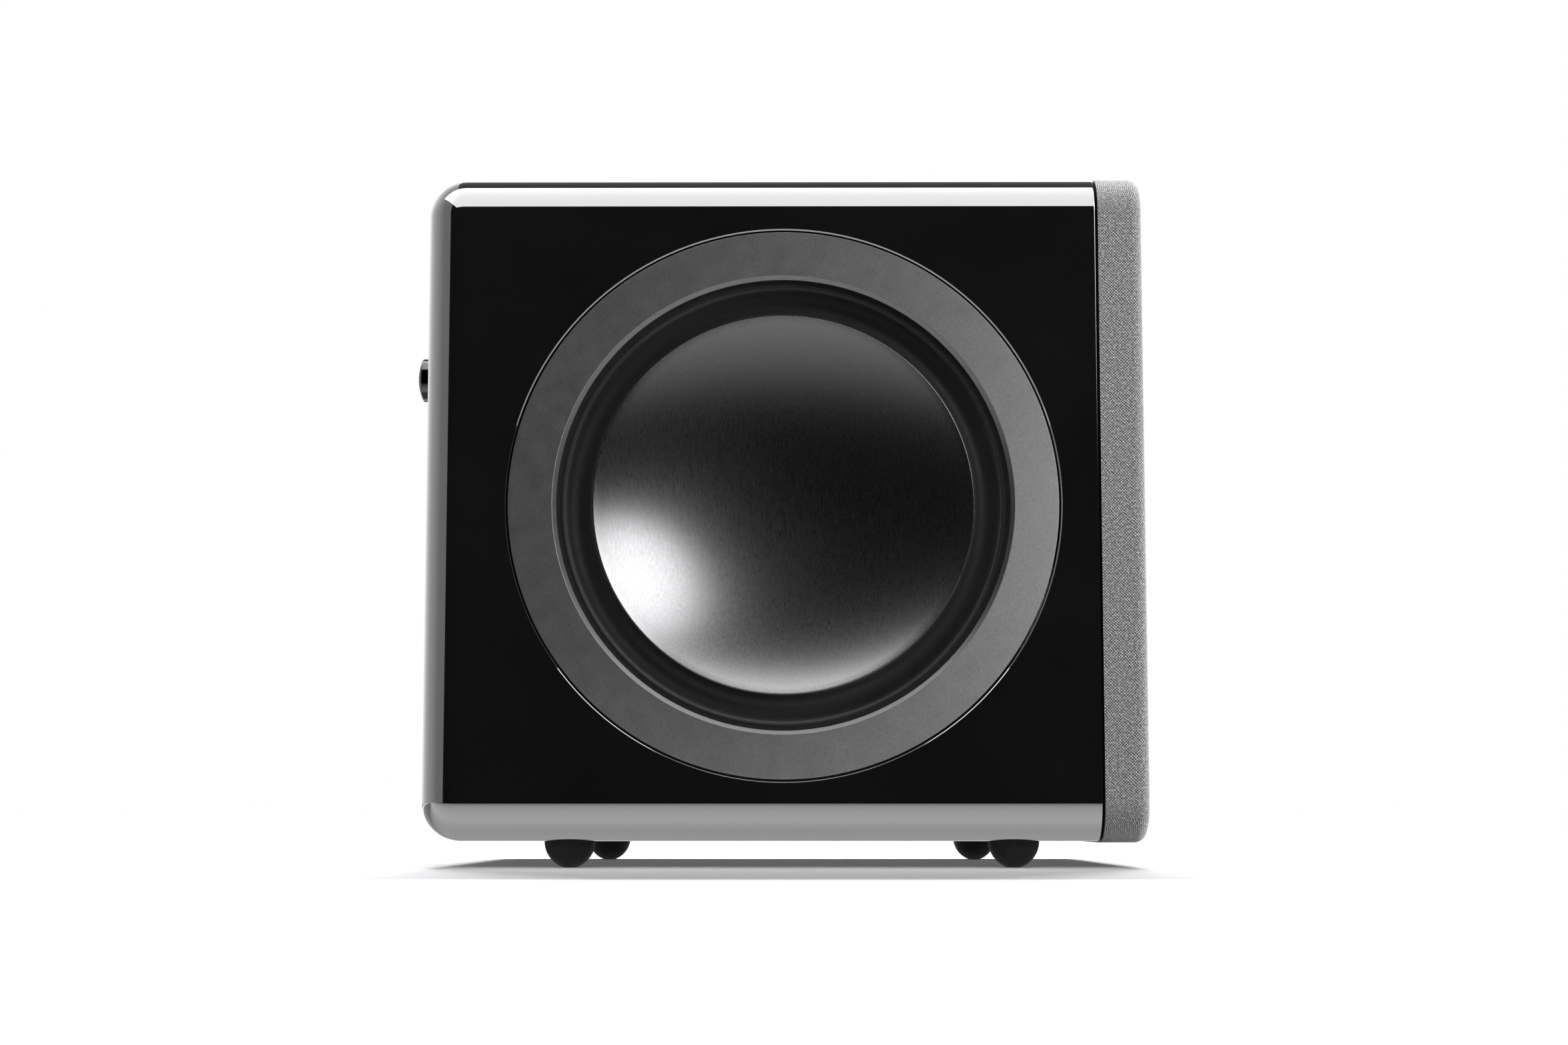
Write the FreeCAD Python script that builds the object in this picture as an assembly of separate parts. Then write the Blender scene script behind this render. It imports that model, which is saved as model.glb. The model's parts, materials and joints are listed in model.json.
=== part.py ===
import FreeCAD, Part
import math
import os

# Compact powered subwoofer, millimetres.
# +X is the front (grille), -Y the right-hand side, +Y the left-hand side, +Z up, floor at z = 0.
# The origin is on the floor, under the middle of the whole box, knobs and grille included.

V = FreeCAD.Vector
UP = V(0, 0, 1)

# ---------------------------------------------------------------- driving dimensions
cabinet_length = 235.4  # X
cabinet_width = 231.0  # Y
cabinet_height = 233.6  # Z
wall = 15.0
edge_radius = 13.5
front_edge_radius = 1.2

foot_height = 9.3
foot_radius = 9.0
foot_flat = 2.2  # radius of the flat that touches the floor
foot_spacing_x = 156.4
foot_spacing_y = 180.0
foot_forward = 2.9  # feet centre, ahead of the middle of cabinet and grille

grille_gap = 0.7
grille_depth = 15.5
grille_overhang = 0.5
knob_length = 10.9
knob_gap = 0.5
knob_radius = 8.0

fit_gap = 0.1  # between pieces that stay together
run_gap = 0.3  # between pieces that move past each other
shaft_gap = 0.05  # radial, of a shaft in its bearing

# side passive radiators: radii, and heights above the side face (negative is inside)
rebate_radius = 96.3
rebate_depth = 8.0
rebate_chamfer = 0.5
radiator_hole_radius = 84.0
ring_outer_radius = 95.7
ring_inner_radius = 78.9
ring_bevel = 1.4
ring_top = -0.2
ring_bottom = -3.6
roll_outer_radius = 76.0
roll_inner_radius = 66.4
roll_depth = 5.2
rubber = 0.9
dish_radius = 64.8
dish_sphere_radius = 130.5
dish_thickness = 1.2
dish_rim_height = -2.5
radiator_neck_radius = 26.0
radiator_stroke = 8.0

# front woofer
woofer_rebate_radius = 90.6
woofer_rebate_depth = 3.8
woofer_hole_radius = 80.0
woofer_flange_radius = 90.0
woofer_roll_outer = 72.0
woofer_roll_inner = 60.0
woofer_roll_height = 5.0
coil_radius = 19.0
woofer_stroke = 6.0

# rear amplifier plate: its own middle is the middle of the rear face
panel_width = 170.0
panel_height = 190.0
panel_thickness = 3.0
panel_gasket = 0.6
panel_corner = 6.0
opening_width = 150.0
opening_height = 170.0
knob_row = 55.0
volume_across = 52.0
crossover_across = 12.0

# ---------------------------------------------------------------- places
overall_length = cabinet_length + grille_gap + grille_depth
knob_reach = knob_gap + knob_length
half_x = (overall_length + knob_reach) / 2
rear_x = -half_x + knob_reach
front_x = rear_x + cabinet_length
middle_x = rear_x + overall_length / 2
cabinet_bottom = foot_height
cabinet_top = foot_height + cabinet_height
middle_z = foot_height + cabinet_height / 2
half_width = cabinet_width / 2


def side_frame(origin, outward):
    """A placement whose +Z points out of a face and whose +Y points up."""
    across = UP.cross(outward)
    matrix = FreeCAD.Matrix()
    columns = [across, UP, outward, origin]
    for column, vector in enumerate(columns, 1):
        setattr(matrix, f"A1{column}", vector.x)
        setattr(matrix, f"A2{column}", vector.y)
        setattr(matrix, f"A3{column}", vector.z)
    return FreeCAD.Placement(matrix)


FRONT = side_frame(V(front_x, 0, middle_z), V(1, 0, 0))
REAR = side_frame(V(rear_x, 0, middle_z), V(-1, 0, 0))
RIGHT = side_frame(V(middle_x, -half_width, middle_z), V(0, -1, 0))
LEFT = side_frame(V(middle_x, half_width, middle_z), V(0, 1, 0))


# ---------------------------------------------------------------- shape helpers
def save(name, shape, frame=FreeCAD.Placement()):
    """Writes one named piece, moved from its face's frame into the part's frame."""
    placed = shape.copy()
    placed.Placement = frame.multiply(placed.Placement)
    placed.exportStep(f"parts/{name}.step")
    return placed


def block(x0, x1, y0, y1, z0, z1):
    return Part.makeBox(x1 - x0, y1 - y0, z1 - z0, V(x0, y0, z0))


def centred(width, height, z0, z1, x=0.0, y=0.0):
    return block(x - width / 2, x + width / 2, y - height / 2, y + height / 2, z0, z1)


def rounded(width, height, z0, z1, radius, x=0.0, y=0.0):
    """A plate with round corners, seen along Z."""
    plate = centred(width, height, z0, z1, x, y)
    upright = [e for e in plate.Edges if abs(e.tangentAt(e.FirstParameter).z) > 0.9]
    return plate.makeFillet(radius, upright)


def disc(radius, z0, z1, x=0.0, y=0.0):
    return Part.makeCylinder(radius, z1 - z0, V(x, y, z0))


def tube(inner, outer, z0, z1, x=0.0, y=0.0):
    return disc(outer, z0, z1, x, y).cut(disc(inner, z0 - 1, z1 + 1, x, y))


def line(a, b):
    return Part.makeLine(V(a[0], 0, a[1]), V(b[0], 0, b[1]))


def arc(a, through, b):
    points = [V(p[0], 0, p[1]) for p in (a, through, b)]
    return Part.Arc(*points).toShape()


def outline(*points):
    """Straight edges through (radius, height) points, in order."""
    return [line(a, b) for a, b in zip(points, points[1:])]


def cap(radius, edge, apex):
    """The arc of a round cap, from its edge to its apex on the axis, centred on the axis."""
    rise = apex - edge
    sphere = (radius**2 + rise**2) / (2 * rise)
    centre = apex - sphere
    angle = math.asin(radius / abs(sphere)) / 2
    through = (abs(sphere) * math.sin(angle), centre + sphere * math.cos(angle))
    return arc((radius, edge), through, (0, apex))


def turned(edges):
    """A solid of revolution about Z, from closed edges in (radius, height)."""
    face = Part.Face(Part.Wire(edges))
    return face.revolve(V(0, 0, 0), V(0, 0, 1), 360)


def turned_polygon(*points):
    return turned(outline(*points, points[0]))


def sector(r0, r1, start, end, z0, z1):
    """A slice of a tube between two angles, in degrees."""
    a, b = math.radians(start), math.radians(end)
    m = (a + b) / 2

    def at(radius, angle):
        return V(radius * math.cos(angle), radius * math.sin(angle), z0)

    edges = [
        Part.Arc(at(r1, a), at(r1, m), at(r1, b)).toShape(),
        Part.makeLine(at(r1, b), at(r0, b)),
        Part.Arc(at(r0, b), at(r0, m), at(r0, a)).toShape(),
        Part.makeLine(at(r0, a), at(r1, a)),
    ]
    return Part.Face(Part.Wire(edges)).extrude(V(0, 0, z1 - z0))


def around(radius, count, first=0.0):
    """(x, y) of points evenly spaced on a circle."""
    step = 360 / count
    angles = [math.radians(first + step * i) for i in range(count)]
    return [(radius * math.cos(a), radius * math.sin(a)) for a in angles]


def joined(shapes):
    whole = shapes[0]
    for shape in shapes[1:]:
        whole = whole.fuse(shape)
    return whole.removeSplitter()


def without(shape, cutters):
    for cutter in cutters:
        shape = shape.cut(cutter)
    return shape


def group(shapes):
    return Part.makeCompound(shapes)


def countersunk_screw(x, y, top, tip, head, shank):
    """A flat-headed screw whose head is flush with top."""
    body = turned_polygon(
        (0, top), (head, top), (shank, top - (head - shank)), (shank, tip + shank), (0, tip)
    )
    slot = centred(head, shank / 3, top - head / 4, top + 1)
    cross = slot.fuse(centred(shank / 3, head, top - head / 4, top + 1))
    body = body.cut(cross)
    body.translate(V(x, y, 0))
    return body


def screw_hole(x, y, top, bottom, head, shank):
    """The countersunk hole that such a screw passes through."""
    head_hole = head + fit_gap
    shank_hole = shank + fit_gap
    hole = turned_polygon(
        (0, top + 1),
        (head_hole + 1, top + 1),
        (head_hole + 1, top),
        (head_hole, top),
        (shank_hole, top - (head - shank)),
        (shank_hole, bottom),
        (0, bottom),
    )
    hole.translate(V(x, y, 0))
    return hole


def pan_screw(x, y, seat, tip, head, shank):
    """A round-headed screw whose head sits on a face."""
    rise = head * 0.55
    dome = cap(head, seat + rise / 3, seat + rise)
    rest = outline(
        (0, seat + rise), (0, tip), (shank, tip + shank), (shank, seat), (head, seat),
        (head, seat + rise / 3),
    )
    body = turned([dome] + rest)
    slot = centred(head, shank / 3, seat + rise * 0.45, seat + rise + 1)
    cross = slot.fuse(centred(shank / 3, head, seat + rise * 0.45, seat + rise + 1))
    body = body.cut(cross)
    body.translate(V(x, y, 0))
    return body


def corrugated(r0, r1, height, waves, depth, thickness):
    """A suspension disc with round corrugations between two flat rims."""
    rim = (r1 - r0) * 0.12
    steps = waves * 2
    inner, outer = r0 + rim, r1 - rim
    top = [(r0, height)]
    for i in range(steps + 1):
        swing = depth if i % 2 else -depth
        if i in (0, steps):
            swing = 0
        top.append((inner + (outer - inner) * i / steps, height + swing))
    top.append((r1, height))
    under = [(r, h - thickness) for r, h in reversed(top)]
    return turned_polygon(*top, *under)


def dish_point(radius, rim_height, offset=0.0):
    """Height of the concave dish at a radius; offset is measured down from its front."""
    sphere = dish_sphere_radius + offset
    centre = rim_height + math.sqrt(dish_sphere_radius**2 - dish_radius**2)
    return centre - math.sqrt(sphere**2 - radius**2)


# ---------------------------------------------------------------- cabinet
peg_across = 94.0
peg_up = 96.0
peg_places = [(sx * peg_across, sy * peg_up) for sx in (-1, 1) for sy in (-1, 1)]
socket_radius = 5.0
socket_depth = 10.5

radiator_screws = around(89.5, 8, 22.5)
radiator_screw_tip = -19.0
woofer_screws = around(85.0, 8, 22.5)
woofer_screw_tip = -14.0
screw_head = 3.2
screw_shank = 1.7

foot_centre_x = middle_x + foot_forward
foot_places = {
    "foot_front_left": (foot_centre_x + foot_spacing_x / 2, foot_spacing_y / 2),
    "foot_front_right": (foot_centre_x + foot_spacing_x / 2, -foot_spacing_y / 2),
    "foot_rear_left": (foot_centre_x - foot_spacing_x / 2, foot_spacing_y / 2),
    "foot_rear_right": (foot_centre_x - foot_spacing_x / 2, -foot_spacing_y / 2),
}
foot_screw_tip = 3.0

panel_screw_across = 80.0
panel_screw_up = 90.0
panel_screws = [
    (sx * panel_screw_across, sy * panel_screw_up) for sx in (-1, 1) for sy in (-1, 0, 1)
]
panel_screws += [(0, panel_screw_up), (0, -panel_screw_up)]
panel_screw_tip = -13.0


def in_frame(shape, frame):
    placed = shape.copy()
    placed.Placement = frame.multiply(placed.Placement)
    return placed


def side_cutter():
    """What a side radiator takes out of the side wall."""
    deep = wall + 2
    mouth = rebate_radius + rebate_chamfer
    cutter = turned_polygon(
        (0, 1),
        (mouth + 1, 1),
        (rebate_radius, -rebate_chamfer),
        (rebate_radius, -rebate_depth),
        (radiator_hole_radius, -rebate_depth),
        (radiator_hole_radius, -deep),
        (0, -deep),
    )
    pilots = [
        disc(screw_shank + fit_gap, radiator_screw_tip - fit_gap, -rebate_depth + 1, x, y)
        for x, y in radiator_screws
    ]
    return group([cutter] + pilots)


def front_cutter():
    deep = wall + 2
    cutter = turned_polygon(
        (0, 1),
        (woofer_rebate_radius, 1),
        (woofer_rebate_radius, -woofer_rebate_depth),
        (woofer_hole_radius, -woofer_rebate_depth),
        (woofer_hole_radius, -deep),
        (0, -deep),
    )
    pilots = [
        disc(screw_shank + fit_gap, woofer_screw_tip - fit_gap, -woofer_rebate_depth + 1, x, y)
        for x, y in woofer_screws
    ]
    sockets = [
        disc(socket_radius + fit_gap, -socket_depth - fit_gap, 1, x, y) for x, y in peg_places
    ]
    return group([cutter] + pilots + sockets)


def rear_cutter():
    sunk = panel_thickness + panel_gasket
    slack = 0.5
    pocket = rounded(
        panel_width + 2 * slack, panel_height + 2 * slack, -sunk, 1, panel_corner + slack
    )
    window = rounded(opening_width, opening_height, -wall - 2, 0, panel_corner)
    pilots = [
        disc(screw_shank + fit_gap, panel_screw_tip - fit_gap, -sunk + 1, x, y)
        for x, y in panel_screws
    ]
    return group([pocket, window] + pilots)


def cabinet():
    shell = block(rear_x, front_x, -half_width, half_width, cabinet_bottom, cabinet_top)
    soft = [e for e in shell.Edges if e.BoundBox.XMin < front_x - 1]
    shell = shell.makeFillet(edge_radius, soft)
    mouth = [e for e in shell.Edges if e.BoundBox.XMin > front_x - 0.01]
    shell = shell.makeFillet(front_edge_radius, mouth)
    inside = block(
        rear_x + wall, front_x - wall, -half_width + wall, half_width - wall,
        cabinet_bottom + wall, cabinet_top - wall,
    )
    shell = shell.cut(inside)
    for cutter, frame in (
        (side_cutter(), RIGHT),
        (side_cutter(), LEFT),
        (front_cutter(), FRONT),
        (rear_cutter(), REAR),
    ):
        shell = without(shell, in_frame(cutter, frame).SubShapes)
    pilots = [
        disc(screw_shank + fit_gap, cabinet_bottom - 1, cabinet_bottom + wall + 1, x, y)
        for x, y in foot_places.values()
    ]
    save("cabinet", without(shell, pilots))


def acoustic_wadding():
    thickness = 13.0
    half_length = 62.0
    half_across = 70.0
    top = cabinet_top - wall
    pad = block(
        middle_x - half_length, middle_x + half_length, -half_across, half_across,
        top - thickness, top,
    )
    upright = [e for e in pad.Edges if abs(e.tangentAt(e.FirstParameter).z) > 0.9]
    save("acoustic_wadding", pad.makeFillet(thickness, upright))


def feet():
    """Domed rubber feet, each held by a screw driven down through the cabinet's floor."""
    run = foot_radius - foot_flat
    dome = (run**2 + foot_height**2) / (2 * run)
    centre = foot_radius - dome
    half = math.asin(foot_height / dome) / 2
    middle = (centre + dome * math.cos(half), foot_height - dome * math.sin(half))
    bore = screw_shank + fit_gap
    edges = [arc((foot_radius, foot_height), middle, (foot_flat, 0))]
    edges += outline(
        (foot_flat, 0), (0, 0), (0, foot_screw_tip - fit_gap), (bore, foot_screw_tip - fit_gap),
        (bore, foot_height), (foot_radius, foot_height),
    )
    foot = turned(edges)
    screws = []
    for name, (x, y) in foot_places.items():
        save(name, moved(foot, x, y))
        seat = cabinet_bottom + wall
        screws.append(pan_screw(x, y, seat, foot_screw_tip, screw_head, screw_shank))
    save("foot_screws", group(screws))


# ---------------------------------------------------------------- grille
cloth = 0.6
grille_width = cabinet_width + 2 * grille_overhang
grille_height = cabinet_height + 2 * grille_overhang
grille_corner = edge_radius + grille_overhang
grille_nose = 4.0
grille_back = grille_gap
grille_face = grille_gap + grille_depth
grille_window_width = 188.0
grille_window_height = 191.0


def front_rounded(width, height, z0, z1, corner, nose):
    """A rounded plate whose front edges are rounded too."""
    plate = rounded(width, height, z0, z1, corner)
    front = [e for e in plate.Edges if e.BoundBox.ZMin > z1 - 0.01]
    return plate.makeFillet(nose, front)


def grille():
    skin = cloth + fit_gap
    cover = front_rounded(
        grille_width, grille_height, grille_back, grille_face, grille_corner, grille_nose
    )
    hollow = front_rounded(
        grille_width - 2 * cloth, grille_height - 2 * cloth, grille_back - 5,
        grille_face - cloth, grille_corner - cloth, grille_nose - cloth,
    )
    save("grille_fabric", cover.cut(hollow), FRONT)

    frame = front_rounded(
        grille_width - 2 * skin, grille_height - 2 * skin, grille_back,
        grille_face - skin, grille_corner - skin, grille_nose - skin,
    )
    window = rounded(
        grille_window_width, grille_window_height, grille_back - 1, grille_face + 1, 16.0
    )
    holes = [disc(2.5 + shaft_gap, grille_back - 1, 8.0, x, y) for x, y in peg_places]
    save("grille_frame", without(frame.cut(window), holes), FRONT)

    peg_edges = outline((0, 7.8), (2.5, 7.8), (2.5, -4.6), (2.9, -5.4), (2.9, -7.4))
    peg_edges.append(cap(2.9, -7.4, -9.3))
    peg_edges += outline((0, -9.3), (0, 7.8))
    peg = turned(peg_edges)
    save("grille_pegs", group([moved(peg, x, y) for x, y in peg_places]), FRONT)

    socket = turned_polygon(
        (0, -socket_depth), (socket_radius, -socket_depth), (socket_radius, 0),
        (3.4, 0), (3.2, -1.0), (3.2, -9.7), (0, -9.7),
    )
    save("grille_sockets", group([moved(socket, x, y) for x, y in peg_places]), FRONT)


def moved(shape, x, y, z=0.0):
    placed = shape.copy()
    placed.translate(V(x, y, z))
    return placed


# ---------------------------------------------------------------- side passive radiators
frame_flange_top = -4.4
frame_flange_bottom = -7.2
frame_base_top = -40.0
frame_base_bottom = -43.0
spider_height = -39.2
legs = 6
leg_degrees = 16.0


def leg_windows(r0, r1, z0, z1):
    """The gaps between a frame's legs; one leg points straight up."""
    pitch = 360 / legs
    gap = leg_degrees / 2
    starts = [90 + pitch * i for i in range(legs)]
    return [sector(r0, r1, start + gap, start + pitch - gap, z0, z1) for start in starts]


def radiator_frame():
    inner, outer = 77.4, 95.3
    neck = 81.5
    collar = -12.0
    base_inner, base_outer = 50.0, 57.5
    leg_wall = 3.5
    shell = turned_polygon(
        (inner, frame_flange_top), (outer, frame_flange_top), (outer, frame_flange_bottom),
        (neck, frame_flange_bottom), (neck - 1, collar), (base_outer, frame_base_bottom),
        (base_inner, frame_base_bottom), (base_inner, frame_base_top),
        (base_outer - leg_wall, frame_base_top), (inner, collar),
    )
    holes = [
        screw_hole(x, y, frame_flange_top, frame_flange_bottom - 1, screw_head, screw_shank)
        for x, y in radiator_screws
    ]
    return without(shell, leg_windows(45.0, 90.0, -37.0, -15.0) + holes)


def radiator_surround():
    """An inverted half roll: flat outer flange, a trough, and a lip under the dish rim."""
    top = ring_bottom
    under = frame_flange_top
    flange = 85.0
    middle = (roll_outer_radius + roll_inner_radius) / 2
    lip_top = dish_rim_height - dish_thickness
    lip_under = lip_top - rubber
    lip_radius = 63.0
    edges = outline((roll_outer_radius, top), (flange, top), (flange, under))
    edges += outline((flange, under), (roll_outer_radius + rubber, under))
    edges.append(
        arc(
            (roll_outer_radius + rubber, under),
            (middle, top - roll_depth - rubber),
            (roll_inner_radius - rubber, lip_under),
        )
    )
    edges += outline(
        (roll_inner_radius - rubber, lip_under), (lip_radius, lip_under), (lip_radius, lip_top),
        (roll_inner_radius, lip_top),
    )
    edges.append(
        arc((roll_inner_radius, lip_top), (middle, top - roll_depth), (roll_outer_radius, top))
    )
    return turned(edges)


def radiator_cone():
    """A concave dish with a flat rim, and the neck that carries its inner suspension."""
    rim = dish_rim_height
    under = rim - dish_thickness
    rim_radius = roll_inner_radius
    seat = dish_radius - 2.0
    neck_in = radiator_neck_radius - 1.5
    neck_end = -42.0
    half = dish_radius / 2
    neck_join = dish_point(radiator_neck_radius, rim, dish_thickness)
    middle = (radiator_neck_radius + seat) / 2
    edges = [arc((0, dish_point(0, rim)), (half, dish_point(half, rim)), (dish_radius, rim))]
    edges += outline((dish_radius, rim), (rim_radius, rim), (rim_radius, under), (seat, under))
    edges.append(
        arc(
            (seat, under),
            (middle, dish_point(middle, rim, dish_thickness) - 0.1),
            (radiator_neck_radius, neck_join),
        )
    )
    edges += outline(
        (radiator_neck_radius, neck_join), (radiator_neck_radius, neck_end), (neck_in, neck_end),
        (neck_in, dish_point(neck_in, rim, dish_thickness)),
    )
    inner_mid = neck_in / 2
    edges.append(
        arc(
            (neck_in, dish_point(neck_in, rim, dish_thickness)),
            (inner_mid, dish_point(inner_mid, rim, dish_thickness)),
            (0, dish_point(0, rim, dish_thickness)),
        )
    )
    edges += outline((0, dish_point(0, rim, dish_thickness)), (0, dish_point(0, rim)))
    return turned(edges)


def radiator_weight():
    """A steel tuning disc in the end of the neck."""
    radius = radiator_neck_radius - 1.5 - fit_gap
    front, back = -34.0, -41.0
    stud, stud_end = 4.0, -42.5
    return turned_polygon(
        (0, front), (radius, front), (radius, back), (stud, back), (stud, stud_end), (0, stud_end)
    )


def radiator_trim_ring():
    return turned_polygon(
        (ring_inner_radius + ring_bevel, ring_top), (ring_outer_radius - 0.3, ring_top),
        (ring_outer_radius, ring_top - 0.3), (ring_outer_radius, ring_bottom),
        (ring_inner_radius, ring_bottom), (ring_inner_radius, ring_top - ring_bevel),
    )


def driver_gasket(inner, outer, z0, z1, screws):
    """A foam ring under a driver's flange, with its screw holes."""
    holes = [disc(screw_shank + fit_gap, z0 - 1, z1 + 1, x, y) for x, y in screws]
    return without(tube(inner, outer, z0, z1), holes)


def radiators():
    gasket = driver_gasket(
        radiator_hole_radius + 0.5, 94.5, -rebate_depth, frame_flange_bottom, radiator_screws
    )
    screws = group([
        countersunk_screw(x, y, frame_flange_top, radiator_screw_tip, screw_head, screw_shank)
        for x, y in radiator_screws
    ])
    spider = corrugated(radiator_neck_radius + fit_gap, 53.6, spider_height, 5, 1.2, 0.8)
    pieces = {
        "trim_ring": radiator_trim_ring(),
        "frame": radiator_frame(),
        "surround": radiator_surround(),
        "cone": radiator_cone(),
        "spider": spider,
        "weight": radiator_weight(),
    }
    for side, frame in (("right", RIGHT), ("left", LEFT)):
        for name, shape in pieces.items():
            save(f"{side}_radiator_{name}", shape, frame)
    sides = (RIGHT, LEFT)
    gaskets = [in_frame(gasket, frame) for frame in sides]
    return gaskets, [in_frame(screws, frame) for frame in sides]


# ---------------------------------------------------------------- front woofer
woofer_base_top = -52.0
woofer_base_bottom = -56.0
top_plate_bottom = -62.0
magnet_bottom = -78.0
back_plate_bottom = -85.0
woofer_spider_height = -40.0
woofer_skin = 0.8  # rubber, cloth and paper
terminals = (-5.5, 5.5)
terminal_end = -73.5
terminal_behind = 35.0


def woofer_basket():
    """Flange, sloping legs, a ledge for the spider, and a base for the motor."""
    seat = -woofer_skin
    flange_bottom = -3.0
    mouth, lip = 73.5, woofer_hole_radius
    leg_top, leg_bottom = -8.0, -49.0
    ledge = woofer_spider_height - woofer_skin
    ledge_bottom = ledge - 2.8
    ledge_inner, ledge_outer = 41.0, 48.3
    base_inner, base_wall = 24.0, 42.0
    shell = turned_polygon(
        (mouth, seat), (lip, seat), (lip, 0.0), (woofer_flange_radius, 0.0),
        (woofer_flange_radius, flange_bottom), (lip - 2, flange_bottom), (lip - 3, leg_top),
        (base_wall + 3.5, leg_bottom), (base_wall + 2, woofer_base_bottom),
        (base_inner, woofer_base_bottom), (base_inner, woofer_base_top),
        (base_wall, woofer_base_top), (base_wall, ledge_bottom), (ledge_inner, ledge_bottom),
        (ledge_inner, ledge), (ledge_outer, ledge), (mouth, leg_top),
    )
    holes = [
        screw_hole(x, y, 0.0, -4.0, screw_head, screw_shank) for x, y in woofer_screws
    ]
    return without(shell, leg_windows(38.0, 90.0, -37.0, -11.0) + holes)


def woofer_surround():
    """A plain half roll standing out of the driver's face."""
    middle = (woofer_roll_outer + woofer_roll_inner) / 2
    outer = woofer_hole_radius - fit_gap
    lip = woofer_roll_inner - 2.5
    seat = 0.0
    under = seat - woofer_skin
    edges = outline((outer, seat), (outer, under), (woofer_roll_outer - woofer_skin, under))
    edges.append(
        arc(
            (woofer_roll_outer - woofer_skin, under),
            (middle, seat + woofer_roll_height - woofer_skin),
            (woofer_roll_inner + woofer_skin, under),
        )
    )
    edges += outline(
        (woofer_roll_inner + woofer_skin, under), (lip, under), (lip, seat),
        (woofer_roll_inner, seat),
    )
    edges.append(
        arc(
            (woofer_roll_inner, seat), (middle, seat + woofer_roll_height),
            (woofer_roll_outer, seat),
        )
    )
    edges += outline((woofer_roll_outer, seat), (outer, seat))
    return turned(edges)


def woofer_cone():
    """A straight paper-pulp cone down to the coil former."""
    return turned_polygon(
        (60.4, -0.8), (57.0, -0.8), (54.5, -2.0), (coil_radius + 0.5, -26.0),
        (coil_radius + 0.5, -28.5), (coil_radius + 1.3, -28.5), (coil_radius + 1.3, -26.5),
        (55.0, -3.2), (57.4, -1.8), (60.4, -1.8),
    )


def dust_cap():
    """A shallow domed cap over the cone's neck."""
    radius = 24.5
    rim = 1.2
    foot = -22.2
    apex = foot + 7.0
    skin = 0.8
    edges = [cap(radius, foot, apex)] + outline((0, apex), (0, apex - skin))
    edges.append(cap(radius - rim, foot, apex - skin))
    edges += outline((radius - rim, foot), (radius, foot))
    return turned(edges)


def woofer_terminals():
    """A carrier on the lowest leg, with two tabs for the lead."""
    leg_face = turned_polygon((0, -8.0), (77.05, -8.0), (45.55, -49.0), (0, -49.0))  # legs' outside
    plate = block(-8.5, 8.5, -66.0, -50.0, -terminal_behind - 5, -terminal_behind + 5)
    plate = plate.cut(leg_face)
    tabs = [
        centred(4.8, 8.0, -terminal_behind - 0.4, -terminal_behind + 0.4, x, terminal_end + 4.0)
        for x in terminals
    ]
    return joined([plate] + tabs)


def woofer():
    gasket = driver_gasket(
        woofer_hole_radius + 0.3, woofer_flange_radius, -woofer_rebate_depth, -3.0, woofer_screws
    )
    screws = group([
        countersunk_screw(x, y, 0.0, woofer_screw_tip, screw_head, screw_shank)
        for x, y in woofer_screws
    ])
    pole = turned_polygon(
        (6.0, back_plate_bottom), (48.0, back_plate_bottom), (48.0, magnet_bottom),
        (coil_radius - 0.8, magnet_bottom), (coil_radius - 0.8, woofer_base_bottom + 1.5),
        (6.0, woofer_base_bottom + 1.5),
    )
    pieces = {
        "woofer_basket": woofer_basket(),
        "woofer_surround": woofer_surround(),
        "woofer_cone": woofer_cone(),
        "woofer_dust_cap": dust_cap(),
        "coil_former": tube(coil_radius, coil_radius + 0.5, -70.0, -26.0),
        "voice_coil": tube(coil_radius + 0.5, coil_radius + 1.2, -68.0, -50.0),
        "woofer_spider": corrugated(coil_radius + 0.6, 47.0, woofer_spider_height, 5, 1.2, 0.8),
        "top_plate": tube(coil_radius + 2.0, 44.0, top_plate_bottom, woofer_base_bottom),
        "magnet": tube(24.0, 50.0, magnet_bottom, top_plate_bottom),
        "pole_plate": pole,
        "woofer_terminals": woofer_terminals(),
    }
    for name, shape in pieces.items():
        save(name, shape, FRONT)
    return [in_frame(gasket, FRONT)], [in_frame(screws, FRONT)]


# ---------------------------------------------------------------- amplifier on the rear
phase_across = -28.0
standby_across = -58.0
led_across = 32.0
jack_row = 12.0
jack_pitch = 20.0
jack_first = -5.0
jack_face = 1.3
jack_end = 9.0
jack_places = [(jack_first - jack_pitch * i, jack_row) for i in range(4)]
inlet_across = -42.0
inlet_up = -62.0
rocker_across = 4.0
rocker_up = -62.0
board_front = -28.4
board_back = -30.0
standoffs = [(sx * 61.0, sy * 72.0) for sx in (-1, 1) for sy in (-1, 1)]

inlet_flange_width = 31.0
inlet_flange_height = 24.0
inlet_body_width = 27.0
inlet_body_height = 19.8
inlet_well_width = 24.2
inlet_well_height = 16.6
inlet_floor = -16.0
inlet_face = 2.0

rocker_tilt = 8.0
rocker_axle_z = -1.2
switch_travel = 4.0


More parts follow.
